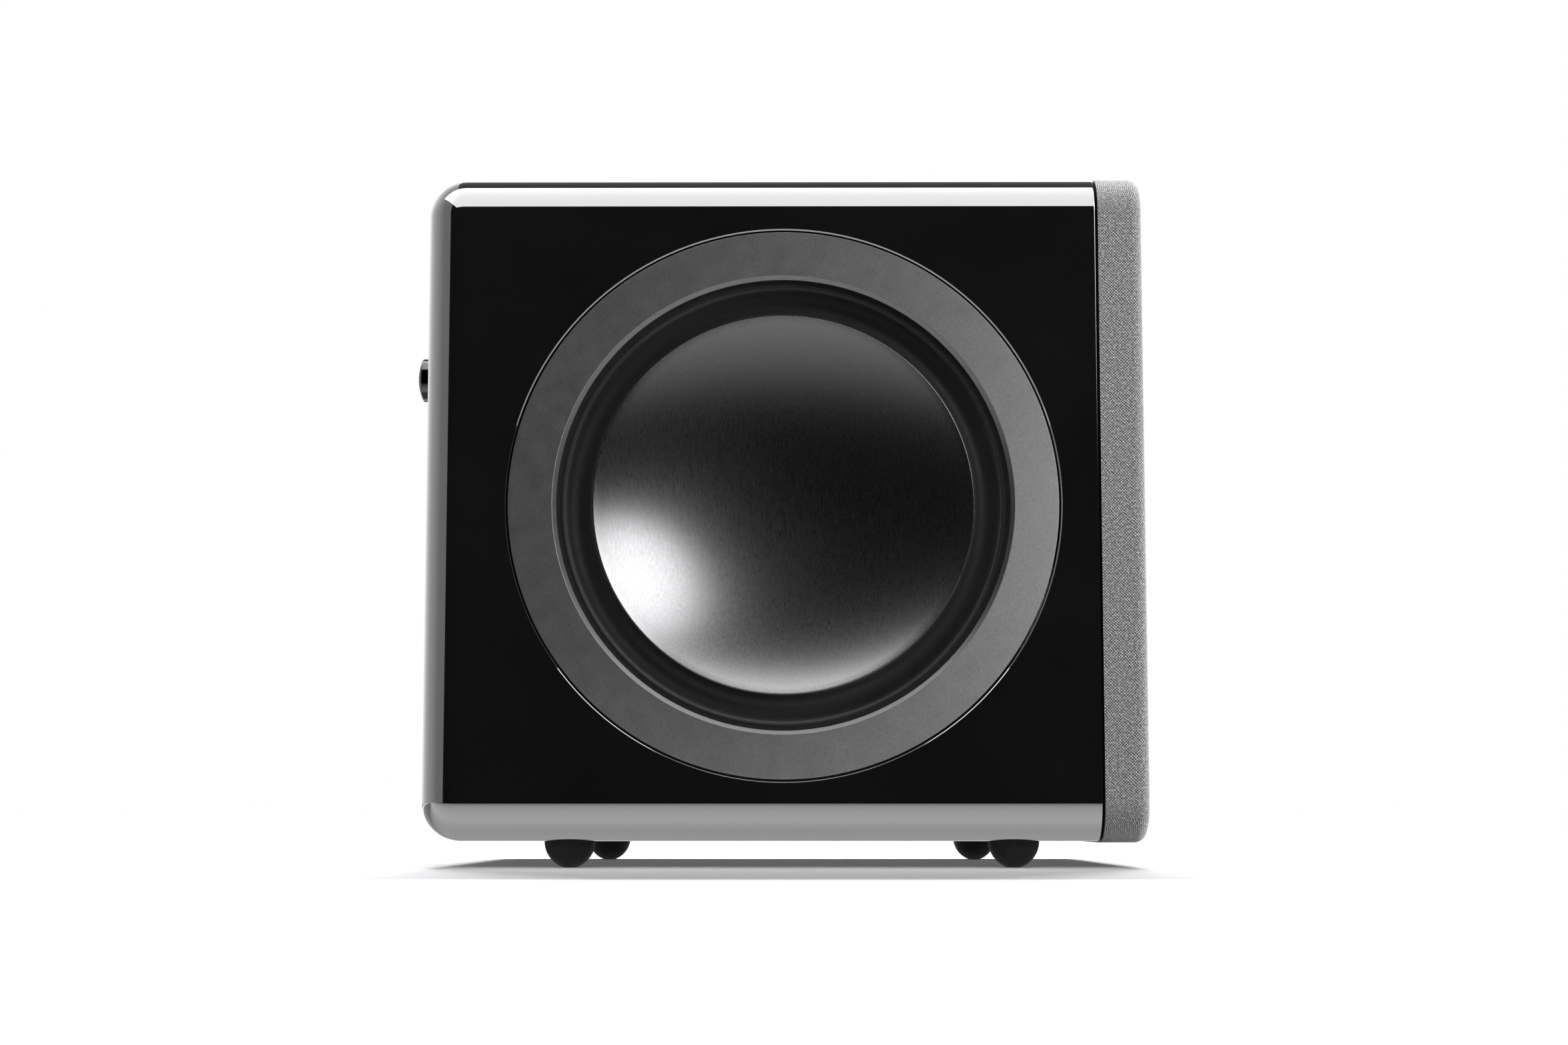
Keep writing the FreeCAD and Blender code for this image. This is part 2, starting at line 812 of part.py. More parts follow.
def panel():
    """The aluminium rear plate with its cut-outs."""
    plate = rounded(panel_width, panel_height, -panel_thickness, 0, panel_corner)
    deep = -panel_thickness - 1
    holes = [disc(3.6, deep, 1, x, knob_row) for x in (volume_across, crossover_across)]
    holes += [disc(screw_shank + fit_gap, deep, 1, x, y) for x, y in panel_screws]
    holes += [disc(5.2, deep, 1, x, y) for x, y in jack_places]
    holes.append(disc(1.6, deep, 1, led_across, knob_row))
    slot = switch_travel + 3.6
    holes += [centred(slot, 3.6, deep, 1, x, knob_row) for x in (phase_across, standby_across)]
    slack = 2 * fit_gap
    inlet_width = inlet_body_width + slack
    inlet_height = inlet_body_height + slack
    holes.append(centred(inlet_width, inlet_height, deep, 1, inlet_across, inlet_up))
    holes.append(centred(19.2, 13.2, deep, 1, rocker_across, rocker_up))
    save("amp_panel", without(plate, holes), REAR)

    gasket_bottom = -panel_thickness - panel_gasket
    gasket = rounded(
        panel_width - 1, panel_height - 1, gasket_bottom, -panel_thickness, panel_corner
    )
    gasket = gasket.cut(rounded(opening_width, opening_height, -9, 0, panel_corner))
    gasket_holes = [disc(screw_shank + fit_gap, -9, 0, x, y) for x, y in panel_screws]
    save("amp_gasket", without(gasket, gasket_holes), REAR)

    screws = [pan_screw(x, y, 0, panel_screw_tip, 3.1, screw_shank) for x, y in panel_screws]
    save("panel_screws", group(screws), REAR)


def rotary_control(name, across):
    """A potentiometer, its shaft and the knob on it."""
    bottom = -13.0
    pot = joined([disc(8.0, bottom, -panel_thickness), disc(3.5, -panel_thickness - 1, -0.3)])
    shaft_radius = 3.0
    bore = disc(shaft_radius + shaft_gap, bottom + 1.5, 1)

    shaft_end = knob_reach - 3.0
    shaft = disc(shaft_radius, bottom + 2.0, shaft_end)
    save(f"{name}_shaft", moved(shaft, across, knob_row), REAR)

    shoulder = knob_reach - 1.5
    side = knob_radius - 0.5
    crown = cap(side, shoulder, knob_reach)
    edges = outline(
        (0, knob_reach), (0, shaft_end + fit_gap), (shaft_radius, shaft_end + fit_gap),
        (shaft_radius, knob_gap), (knob_radius, knob_gap), (knob_radius, shoulder - 0.5),
        (side, shoulder),
    )
    knob = turned(edges + [crown])
    pointer = centred(1.0, 5.0, knob_reach - 2.6, knob_reach + 1, 0, knob_radius - 2.0)
    save(f"{name}_knob", moved(knob.cut(pointer), across, knob_row), REAR)
    return moved(pot.cut(bore), across, knob_row)


def slide_switch(name, across):
    """A small two-way switch: a fixed body and the slider that sticks out of the plate."""
    body = centred(14.0, 7.0, -10.0, -panel_thickness)
    pocket = centred(5.0 + switch_travel + 2 * run_gap, 4.6, -7.0, -panel_thickness + 1)
    base = centred(5.0, 4.0, -6.7, -panel_thickness - run_gap)
    stem = centred(3.0, 3.0, -panel_thickness - 1, 1.2)
    ribs = [centred(0.5, 4.0, 0.9, 1.5, x) for x in (-0.9, 0.1, 1.1)]
    slider = without(joined([base, stem]), ribs)
    save(f"{name}_slider", moved(slider, across - switch_travel / 2, knob_row), REAR)
    return moved(body.cut(pocket), across, knob_row)


def jacks():
    """Line jacks: a metal shell round an insulating core with a centre hole."""
    block_bottom = -14.0
    edge = 9.0
    housing = block(
        jack_places[-1][0] - edge, jack_first + edge, jack_row - edge, jack_row + edge,
        block_bottom, -panel_thickness,
    )
    shells = []
    cores = []
    for x, y in jack_places:
        shell = tube(3.3, 3.85, -panel_thickness, jack_end, x, y)
        plug_face = tube(3.3, 4.15, jack_face, jack_end, x, y)
        collar = tube(3.95, 5.1, -panel_thickness, jack_face - fit_gap, x, y)
        shells.append(shell.fuse(plug_face).removeSplitter())
        core = disc(3.25, -panel_thickness, 8.0, x, y).cut(disc(1.6, 0, 9.0, x, y))
        cores.append(core.fuse(collar))
    save("rca_shells", group(shells), REAR)
    body = housing
    for core in cores:
        body = body.fuse(core)
    save("rca_block", body.removeSplitter(), REAR)


def inlet():
    flange = rounded(inlet_flange_width, inlet_flange_height, 0, inlet_face, 2.5)
    body = centred(inlet_body_width, inlet_body_height, -20.0, 0.5)
    well = centred(inlet_well_width, inlet_well_height, inlet_floor, inlet_face + 1)
    upright = [e for e in well.Edges if abs(e.tangentAt(e.FirstParameter).z) > 0.9]
    lower = [e for e in upright if e.BoundBox.YMax < 0]
    well = well.makeChamfer(4.0, lower)
    shell = joined([flange, body]).cut(well)
    pins = [(-7.0, 2.0), (7.0, 2.0), (0.0, -2.0)]
    slots = [centred(2.0, 4.0, -30, 0, x, y) for x, y in pins]
    save("power_inlet", moved(without(shell, slots), inlet_across, inlet_up), REAR)
    blades = [centred(2.0, 4.0, -24.0, -1.5, x, y) for x, y in pins]
    save("inlet_pins", moved(group(blades), inlet_across, inlet_up), REAR)


def power_rocker():
    """A two-position rocker tilting on a cross axle in its housing."""
    flange = rounded(22.0, 16.0, 0, 1.5, 1.5)
    body = centred(19.0, 13.0, -14.0, 0.5)
    well = centred(15.6, 10.8, -7.5, 3.0)
    axle_hole = Part.makeCylinder(1.0 + shaft_gap, 16.8, V(0, -8.4, rocker_axle_z), V(0, 1, 0))
    axle_hole = axle_hole.common(centred(30, 12.4, -9, 9))
    housing = without(joined([flange, body]), [well, axle_hole])
    save("rocker_housing", moved(housing, rocker_across, rocker_up), REAR)

    half = 7.1
    depth = 5.0
    points = [
        V(-half, 0, -depth + 1.2), V(-half, 0, 2.9), V(0, 0, 1.9), V(half, 0, 2.9),
        V(half, 0, -depth + 1.2), V(0, 0, -depth),
    ]
    loop = Part.makePolygon(points + [points[0]])
    paddle = Part.Face(loop).extrude(V(0, 10.0, 0))
    paddle.translate(V(0, -5.0, 0))
    axle = Part.makeCylinder(1.0, 12.0, V(0, -6.0, rocker_axle_z), V(0, 1, 0))
    rocker = joined([paddle, axle])
    rocker.rotate(V(0, 0, rocker_axle_z), V(0, 1, 0), -rocker_tilt)
    save("power_rocker", moved(rocker, rocker_across, rocker_up), REAR)


def status_led():
    dome = cap(1.5, 0.2, 1.2)
    edges = outline((0, 1.2), (0, -6.0), (2.0, -6.0), (2.0, -panel_thickness - fit_gap))
    shoulder = -panel_thickness - fit_gap
    edges += outline((2.0, shoulder), (1.5, shoulder), (1.5, 0.2))
    save("status_led", moved(turned(edges + [dome]), led_across, knob_row), REAR)


def electronics():
    """The amplifier board, its spacers and what stands on it."""
    board = centred(132.0, 156.0, board_back, board_front)
    save("circuit_board", board, REAR)
    posts = [disc(3.5, board_front, -panel_thickness, x, y) for x, y in standoffs]
    save("board_standoffs", group(posts), REAR)

    core = centred(44.0, 36.0, board_back - 26.0, board_back - 4.0, 34.0, -44.0)
    windings = centred(30.0, 48.0, board_back - 22.0, board_back, 34.0, -44.0)
    save("power_transformer", joined([core, windings]), REAR)

    cans = [disc(9.0, board_back - 34.0, board_back, x, -50.0) for x in (-12.0, -34.0)]
    cans += [disc(9.0, board_back - 34.0, board_back, x, -26.0) for x in (-12.0, -34.0)]
    save("reservoir_capacitors", group(cans), REAR)

    base_bottom = board_back - 5.0
    fins = [
        centred(100.0, 2.0, board_back - 26.0, base_bottom, 0, 23.0 + 6.0 * i) for i in range(7)
    ]
    base = block(-50.0, 50.0, 20.0, 62.0, base_bottom, board_back)
    save("heatsink", joined([base] + fins), REAR)


def rounded_path(points, bend):
    """Straight runs joined by tangent arcs of one radius."""
    edges = []
    start = points[0]
    for before, corner, after in zip(points, points[1:], points[2:]):
        back = (before - corner).normalize()
        ahead = (after - corner).normalize()
        half_turn = back.getAngle(ahead) / 2
        reach = bend / math.tan(half_turn)
        bisector = (back + ahead).normalize()
        centre = corner + bisector * (bend / math.sin(half_turn))
        first = corner + back * reach
        last = corner + ahead * reach
        edges.append(Part.makeLine(start, first))
        edges.append(Part.Arc(first, centre - bisector * bend, last).toShape())
        start = last
    edges.append(Part.makeLine(start, points[-1]))
    return Part.Wire(edges)


def speaker_lead():
    """Two insulated wires from the board, under the motor and up to the woofer's tabs."""
    wire_radius = 1.3
    bend = 13.0
    board_x = rear_x - board_back
    tab_x = front_x - terminal_behind
    start_z = middle_z - 66.0
    low_z = cabinet_bottom + wall + 10.0
    wires = []
    for across in terminals:
        points = [
            V(board_x, across, start_z),
            V(board_x + 30.0, across, start_z),
            V(board_x + 54.0, across, low_z),
            V(tab_x, across, low_z),
            V(tab_x, across, middle_z + terminal_end),
        ]
        path = rounded_path(points, bend)
        section = Part.Wire(Part.makeCircle(wire_radius, points[0], V(1, 0, 0)))
        wire = path.makePipeShell([section], True, True)
        drift = wire.Volume / (math.pi * wire_radius**2 * path.Length) - 1
        print(f"speaker wire {path.Length:.0f} mm, bend {bend:.0f} mm, volume off by {drift:.4f}")
        wires.append(wire)
    save("speaker_lead", group(wires))


os.makedirs("parts", exist_ok=True)
cabinet()
acoustic_wadding()
feet()
grille()
side_gaskets, side_screws = radiators()
front_gasket, front_screws = woofer()
save("driver_gaskets", group(side_gaskets + front_gasket))
save("driver_screws", group(side_screws + front_screws))
panel()
pots = [
    rotary_control("volume", volume_across),
    rotary_control("crossover", crossover_across),
]
save("control_pots", group(pots), REAR)
switches = [slide_switch("phase", phase_across), slide_switch("standby", standby_across)]
save("slide_switches", group(switches), REAR)
jacks()
inlet()
power_rocker()
status_led()
electronics()
speaker_lead()
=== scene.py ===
import json
from math import acos, asin, atan2, cos, hypot, pi, radians, sin, sqrt, tan

import bpy
import numpy as np
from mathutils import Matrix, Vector
from mathutils.geometry import delaunay_2d_cdt


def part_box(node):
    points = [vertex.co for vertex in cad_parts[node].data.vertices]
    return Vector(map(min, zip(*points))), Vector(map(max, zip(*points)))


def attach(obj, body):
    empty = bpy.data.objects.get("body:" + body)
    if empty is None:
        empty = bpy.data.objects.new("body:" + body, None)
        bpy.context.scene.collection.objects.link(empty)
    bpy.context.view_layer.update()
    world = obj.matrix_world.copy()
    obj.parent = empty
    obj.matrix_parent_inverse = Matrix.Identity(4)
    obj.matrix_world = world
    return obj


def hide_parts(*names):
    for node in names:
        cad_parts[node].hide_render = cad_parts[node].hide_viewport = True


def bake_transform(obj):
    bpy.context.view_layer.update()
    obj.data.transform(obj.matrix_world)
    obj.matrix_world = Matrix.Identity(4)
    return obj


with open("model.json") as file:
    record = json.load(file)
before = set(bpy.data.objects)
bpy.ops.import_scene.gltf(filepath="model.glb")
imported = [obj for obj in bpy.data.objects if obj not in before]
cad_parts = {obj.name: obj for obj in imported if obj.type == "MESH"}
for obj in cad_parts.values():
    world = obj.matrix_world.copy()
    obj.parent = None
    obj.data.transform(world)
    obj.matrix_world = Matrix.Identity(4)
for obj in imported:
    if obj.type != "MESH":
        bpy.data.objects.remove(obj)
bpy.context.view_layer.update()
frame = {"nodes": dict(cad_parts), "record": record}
scene = bpy.context.scene

# Millimetres throughout; Shape.build turns them into metres.
# Each face of the box has its own frame: across, up from the box's middle height, and outward.
MM = 0.001
ON_AXIS = 1e-6  # a smaller radius counts as a point on the axis
rear_x, front_x, middle_x, middle_z = -120.1, 115.3, 5.7, 126.1
half_width = 115.5
cabinet_bottom, cabinet_top = 9.3, 242.9
wall = 15.0
edge_radius = 13.5
front_edge = 0.7
cabinet_width, cabinet_height = 2 * half_width, cabinet_top - cabinet_bottom
inner_width, inner_height = cabinet_width - 2 * wall, cabinet_height - 2 * wall
corner_steps, front_steps = 14, 6
foot_height, foot_radius, foot_flat = 9.3, 9.0, 2.2

ring_mouth, ring_seat, ring_rebate, radiator_hole = 96.8, 96.3, 8.0, 84.0
ring_inner, ring_outer, ring_top, ring_bottom = 78.9, 95.7, -0.2, -3.6
ring_slope = 1.4
roll_outer, roll_inner, roll_depth, rubber = 76.0, 66.4, 5.2, 0.9
surround_outer, surround_skin = 85.0, 0.8
bead_outer, bead_crest, bead_inner, bead_rise = 77.5, 76.9, 76.2, 0.4
surround_lip = 65.3
dish_radius, dish_sphere, dish_rim, dish_skin = 64.8, 130.5, -2.5, 1.2
bright_radius = 66.0
neck_outer, neck_inner, neck_end = 26.0, 24.5, -42.0
radiator_spider = (26.1, 53.6, -39.2)

woofer_outer, woofer_inner, woofer_rise, woofer_skin = 72.0, 60.0, 5.0, 0.8
woofer_lip, woofer_flange = 57.5, 79.9
woofer_rebate, woofer_rebate_depth, woofer_hole = 90.6, 3.8, 80.0
woofer_spider = (19.6, 47.0, -40.0)

grille_width, grille_height, grille_corner, grille_nose = 232.0, 234.6, 14.0, 4.0
grille_back, grille_face, cloth_skin = 0.7, 16.2, 0.6
socket_across, socket_up, socket_radius, socket_depth = 94.0, 96.0, 5.1, 10.6
cloth_steps = 16

plate_width, plate_height, plate_corner, plate_thickness, plate_ease = 170.0, 190.0, 6.0, 3.0, 0.4
pocket_gap, pocket_depth = 0.5, 3.6
window_width, window_height = 150.0, 170.0
plate_screws = [(sx * 80.0, sy * 90.0) for sx in (-1, 1) for sy in (-1, 0, 1)]
plate_screws += [(0.0, 90.0), (0.0, -90.0)]
knob_row = 55.0
knobs = {"volume": 52.0, "crossover": 12.0}
jack_row = 12.0
jacks_across = (-5.0, -25.0, -45.0, -65.0)

PLACES = {
    "front": ((front_x, 0, middle_z), (0, 1, 0), (1, 0, 0)),
    "rear": ((rear_x, 0, middle_z), (0, -1, 0), (-1, 0, 0)),
    "right": ((middle_x, -half_width, middle_z), (1, 0, 0), (0, -1, 0)),
    "left": ((middle_x, half_width, middle_z), (-1, 0, 0), (0, 1, 0)),
    "row": ((0, 0, 0), (1, 0, 0), (0, 0, 1)),
}


# ---------------------------------------------------------------- mesh building
class Shape:
    """Faces with their own corner normals, in the millimetres of one face of the box."""

    def __init__(self, place="row"):
        origin, across, outward = PLACES[place]
        up = (0, 1, 0) if place == "row" else (0, 0, 1)
        self.origin = np.array(origin, float)
        self.axes = np.array([across, up, outward], float)
        self.points, self.normals, self.uvs, self.faces = [], [], [], []
        self.count = 0

    def add(self, points, normals, faces, uvs=None):
        """Takes points, a normal for each, and faces that index them."""
        points = np.asarray(points, float).reshape(-1, 3)
        self.points.append(points)
        self.normals.append(np.asarray(normals, float).reshape(-1, 3))
        if uvs is None:
            uvs = points[:, :2]
        self.uvs.append(np.asarray(uvs, float).reshape(-1, 2))
        self.faces += [tuple(int(i) + self.count for i in f) for f in faces]
        self.count += len(points)

    def grid(self, points, normals, uvs=None, skip=()):
        """Quads over an array of points whose rows and columns follow the surface."""
        rows, columns = points.shape[:2]
        faces = []
        for i in range(rows - 1):
            for j in range(columns - 1):
                if (i, j) not in skip:
                    a = i * columns + j
                    faces.append((a, a + 1, a + columns + 1, a + columns))
        self.add(points, normals, faces, uvs)

    def flat(self, outline, holes, height, side=1.0):
        """A flat face at one height, with holes cut out of it."""
        loops = [np.asarray(loop, float)[:, :2] for loop in [outline, *holes]]
        points, edges = [], []
        for loop in loops:
            start = len(points)
            points += [Vector(p) for p in loop]
            n = len(loop)
            edges += [(start + i, start + (i + 1) % n) for i in range(n)]
        result = delaunay_2d_cdt(points, edges, [], 1, 1e-5)
        flat_points = np.array([tuple(p) for p in result[0]])
        keep = []
        for face in result[2]:
            middle = flat_points[list(face)].mean(0)
            if inside(middle, loops[0]) and not any(inside(middle, h) for h in loops[1:]):
                keep.append(face)
        normals = np.tile([0, 0, side], (len(flat_points), 1))
        self.add(raised(flat_points, height), normals, keep)

    def revolve(self, profile, centre=(0, 0), steps=96, closed=True, smooth=40.0):
        """Turns (radius, height) points about the outward axis, keeping sharp corners sharp."""
        line = np.asarray(profile, float)
        if closed:
            area = np.sum(line[:, 0] * np.roll(line[:, 1], -1))
            area -= np.sum(line[:, 1] * np.roll(line[:, 0], -1))
            line = looped(line[::-1] if area < 0 else line)
        run = np.diff(line, axis=0)
        length = np.linalg.norm(run, axis=1)
        keep = length > 1e-9
        starts, ends = line[:-1][keep], line[1:][keep]
        run, length = run[keep], length[keep]
        normal = np.stack([run[:, 1], -run[:, 0]], 1) / length[:, None]
        count = len(run)
        angles = np.linspace(0, 2 * pi, steps + 1)
        spokes = np.stack([np.cos(angles), np.sin(angles)], 1)
        limit = cos(radians(smooth))
        for i in range(count):
            if starts[i][0] < ON_AXIS and ends[i][0] < ON_AXIS:
                continue
            end_normals = []
            for k in (i - 1, i + 1):
                n = normal[i]
                if closed or 0 <= k < count:
                    other = normal[k % count]
                    if n @ other > limit:
                        n = n * length[i] + other * length[k % count]
                end_normals.append(n / np.linalg.norm(n))
            rows, row_normals = [], []
            for (r, h), (nr, nh) in zip((starts[i], ends[i]), end_normals):
                rows.append(raised(spokes * r + centre, h))
                row_normals.append(raised(spokes * nr, nh))
            self.grid(np.array(rows), np.array(row_normals))

    def build(self, name, material, body="enclosure", replaces=()):
        """Makes the object, joining points that coincide and facing every face outward."""
        points = np.vstack(self.points)
        normals = np.vstack(self.normals) @ self.axes
        uvs = np.vstack(self.uvs)
        places = (points @ self.axes + self.origin) * MM
        grid_points = np.round(points * 1e4).astype(np.int64)
        _, index, inverse = np.unique(
            grid_points, axis=0, return_index=True, return_inverse=True
        )
        inverse = inverse.reshape(-1)
        faces, used = [], []
        for face in self.faces:
            kept, ids = [], []
            for corner in face:
                vertex = int(inverse[corner])
                if vertex not in ids:
                    ids.append(vertex)
                    kept.append(corner)
            if len(ids) < 3:
                continue
            a, b, c = (points[kept[i]] for i in (0, 1, 2))
            turn = np.cross(b - a, c - a) @ self.axes
            if turn @ normals[kept].sum(0) < 0:
                ids.reverse()
                kept.reverse()
            faces.append(ids)
            used += kept
        mesh = bpy.data.meshes.new(name)
        mesh.from_pydata(places[index].tolist(), [], faces)
        mesh.polygons.foreach_set("use_smooth", [True] * len(faces))
        layer = mesh.uv_layers.new(name="UVMap")
        layer.data.foreach_set("uv", uvs[used].ravel())
        mesh.normals_split_custom_set(normals[used].tolist())
        obj = bpy.data.objects.new(name, mesh)
        scene.collection.objects.link(obj)
        mesh.materials.append(material)
        if body:
            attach(obj, body)
        if replaces:
            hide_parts(*replaces)
        return obj


def inside(point, loop):
    """Whether a point is inside a closed loop."""
    x, y = point
    a, b = loop, np.roll(loop, -1, axis=0)
    crosses = (a[:, 1] > y) != (b[:, 1] > y)
    with np.errstate(divide="ignore", invalid="ignore"):
        at = a[:, 0] + (y - a[:, 1]) / (b[:, 1] - a[:, 1]) * (b[:, 0] - a[:, 0])
    return bool(np.count_nonzero(crosses & (x < at)) % 2)


def looped(points):
    """The points with the first one repeated at the end."""
    return np.vstack([points, points[:1]])


def raised(points, height):
    """Flat points with one height, or with a height each."""
    return np.column_stack([points, np.broadcast_to(height, len(points))])


def rectangle(x0, x1, y0, y1):
    """Four corners from two ends each way."""
    return [(x0, y0), (x1, y0), (x1, y1), (x0, y1)]


def corners(width, height, x=0.0, y=0.0):
    """A rectangle about a middle point."""
    return rectangle(x - width / 2, x + width / 2, y - height / 2, y + height / 2)


def circle(radius, steps=96, x=0.0, y=0.0):
    """Points round a circle."""
    angles = np.arange(steps) / steps * 2 * pi
    return np.stack([x + radius * np.cos(angles), y + radius * np.sin(angles)], 1)


def rounded_loop(width, height, radius, steps=12):
    """Points and outward normals round a rounded rectangle."""
    points, normals = [], []
    for quarter, (sx, sy) in enumerate(((1, 1), (-1, 1), (-1, -1), (1, -1))):
        for k in range(steps + 1):
            a = pi / 2 * (quarter + k / steps)
            n = np.array([cos(a), sin(a)])
            corner = np.array([sx * (width / 2 - radius), sy * (height / 2 - radius)])
            points.append(corner + n * radius)
            normals.append(n)
    return np.array(points), np.array(normals)


def bend(start, corner, end, radius, steps=5):
    """A small round corner between two straight profile lines."""
    start, corner, end = (np.array(p, float) for p in (start, corner, end))
    back = (start - corner) / np.linalg.norm(start - corner)
    ahead = (end - corner) / np.linalg.norm(end - corner)
    half = acos(np.clip(back @ ahead, -1, 1)) / 2
    reach = radius / tan(half)
    first, last = corner + back * reach, corner + ahead * reach
    middle = back + ahead
    centre = corner + middle / np.linalg.norm(middle) * radius / sin(half)
    out = []
    for k in range(steps + 1):
        p = first + (last - first) * k / steps - centre
        out.append(tuple(centre + p / np.linalg.norm(p) * radius))
    return out


def eased(points, radius=0.2, steps=3):
    """A closed profile whose corners off the axis are all slightly round."""
    out = []
    n = len(points)
    for i, p in enumerate(points):
        if p[0] < ON_AXIS:
            out.append(p)
        else:
            out += bend(points[i - 1], p, points[(i + 1) % n], radius, steps)
    return out


def arc3(a, through, b, steps=24):
    """Points of the arc through three (radius, height) points."""
    a, m, b = (np.array(p, float) for p in (a, through, b))
    d = 2 * (a[0] * (m[1] - b[1]) + m[0] * (b[1] - a[1]) + b[0] * (a[1] - m[1]))
    sa, sm, sb = a @ a, m @ m, b @ b
    cx = (sa * (m[1] - b[1]) + sm * (b[1] - a[1]) + sb * (a[1] - m[1])) / d
    cy = (sa * (b[0] - m[0]) + sm * (a[0] - b[0]) + sb * (m[0] - a[0])) / d
    centre = np.array([cx, cy])
    radius = np.linalg.norm(a - centre)
    angles = [atan2(*(p - centre)[::-1]) for p in (a, m, b)]
    turn = (angles[2] - angles[0]) % (2 * pi)
    if (angles[1] - angles[0]) % (2 * pi) > turn:
        turn -= 2 * pi
    steps_at = angles[0] + turn * np.linspace(0, 1, steps + 1)
    return [(cx + radius * cos(t), cy + radius * sin(t)) for t in steps_at]


# ---------------------------------------------------------------- materials
def maths(tree, operation, a, b=None):
    """A maths node; each input is a number or a socket."""
    node = tree.nodes.new("ShaderNodeMath")
    node.operation = operation
    for i, value in enumerate((a, b)):
        if isinstance(value, (int, float)):
            node.inputs[i].default_value = value
        elif value is not None:
            tree.links.new(value, node.inputs[i])
    return node.outputs[0]


class Paint:
    """A Principled material with short ways to add detail; lengths are in millimetres."""

    def __init__(self, name, **sockets):
        self.material = bpy.data.materials.new(name)
        self.material.use_nodes = True
        self.tree = self.material.node_tree
        self.shader = self.tree.nodes["Principled BSDF"]
        for key, value in sockets.items():
            label = key.replace("_", " ").title().replace("Ior", "IOR")
            self.shader.inputs[label].default_value = value

    def node(self, kind, *links, **values):
        """Adds a node; links are (socket, source) pairs."""
        node = self.tree.nodes.new(kind)
        for key, value in values.items():
            if hasattr(node, key):
                setattr(node, key, value)
            else:
                node.inputs[key.replace("_", " ").title()].default_value = value
        for socket, source in links:
            self.tree.links.new(source, node.inputs[socket])
        return node

    def places(self, stretch=(1, 1, 1), turn=(0, 0, 0), uv=False):
        """Coordinates in millimetres, on the object or laid flat, optionally stretched."""
        source = self.node("ShaderNodeTexCoord").outputs["UV" if uv else "Object"]
        size = 1.0 if uv else 1000.0
        spread = self.node("ShaderNodeMapping", (0, source))
        spread.inputs["Scale"].default_value = [size / s for s in stretch]
        spread.inputs["Rotation"].default_value = turn
        return spread.outputs[0]

    def noise(self, size, detail=3.0, stretch=(1, 1, 1), turn=(0, 0, 0), uv=False):
        """Noise with spots of about this size."""
        texture = self.node("ShaderNodeTexNoise", (0, self.places(stretch, turn, uv)))
        texture.inputs["Scale"].default_value = 1 / size
        texture.inputs["Detail"].default_value = detail
        return texture.outputs["Fac"]

    def spread(self, source, low, high, start=0.3, end=0.7):
        """Maps start to low and end to high."""
        ranged = self.node("ShaderNodeMapRange", (0, source))
        for socket, value in ((1, start), (2, end), (3, low), (4, high)):
            ranged.inputs[socket].default_value = value
        return ranged.outputs[0]

    def maths(self, operation, a, b=None):
        return maths(self.tree, operation, a, b)

    def colour(self, source, dark, light, start=0.3, end=0.7):
        mix = self.node("ShaderNodeMix", data_type="RGBA")
        self.tree.links.new(self.spread(source, 0, 1, start, end), mix.inputs["Factor"])
        mix.inputs[6].default_value = (*dark, 1)
        mix.inputs[7].default_value = (*light, 1)
        self.tree.links.new(mix.outputs[2], self.shader.inputs["Base Color"])

    def rough(self, source, low, high):
        self.tree.links.new(self.spread(source, low, high), self.shader.inputs["Roughness"])

    def bump(self, source, depth, strength=1.0):
        node = self.node("ShaderNodeBump", ("Height", source))
        node.inputs["Distance"].default_value = depth * MM
        node.inputs["Strength"].default_value = strength
        before = self.shader.inputs["Normal"].links
        if before:
            self.tree.links.new(before[0].from_socket, node.inputs["Normal"])
        self.tree.links.new(node.outputs[0], self.shader.inputs["Normal"])


def grey(level):
    """A colour that is very slightly cool."""
    return (level, level, level * 1.02)


def simple(name, dark, light, low, high, size=1.5, depth=0.02, grain=0.5, **sockets):
    """A surface with mottled colour, roughness from low to high, and a fine grain."""
    paint = Paint(name, **sockets)
    paint.colour(paint.noise(size * 8), dark, light)
    paint.rough(paint.noise(size * 3), low, high)
    if depth:
        paint.bump(paint.noise(grain), depth)
    return paint


def lacquer():
    """Black lacquer under a thick clear coat, very slightly wavy."""
    paint = Paint(
        "piano_lacquer", specular_ior_level=1.0, coat_weight=1.0, coat_roughness=0.01, coat_ior=1.7,
    )
    paint.colour(paint.noise(40), grey(0.0012), grey(0.002))
    paint.rough(paint.noise(25), 0.03, 0.06)
    paint.bump(paint.noise(18, 1.0), 0.004, 0.5)
    return paint.material


def satin_ring():
    """Fine-blasted dark metal."""
    paint = Paint("satin_ring", metallic=0.95)
    paint.colour(paint.noise(0.5, 2), grey(0.085), grey(0.11))
    paint.rough(paint.noise(6), 0.38, 0.42)
    paint.bump(paint.noise(0.35, 2), 0.006)
    return paint.material


def surround_rubber():
    """Black rubber with a faint bloom."""
    paint = Paint(
        "surround_rubber", specular_ior_level=0.2, sheen_weight=0.05, sheen_roughness=0.5,
    )
    paint.colour(paint.noise(0.35, 4), grey(0.0015), grey(0.008), 0.45, 0.75)
    paint.rough(paint.noise(5), 0.5, 0.6)
    paint.bump(paint.noise(0.4, 3), 0.02)
    return paint.material


def brushed_dish():
    """Metal with a fine grain drawn one way."""
    paint = Paint("brushed_aluminium", metallic=1.0, anisotropic=0.35)
    long_grain = paint.noise(0.3, 3, stretch=(1, 1, 9), turn=(0, radians(8), 0))
    paint.colour(long_grain, grey(0.108), grey(0.132))
    paint.rough(paint.noise(0.5, 2, stretch=(1, 1, 6)), 0.255, 0.295)
    paint.bump(long_grain, 0.0008)
    return paint.material


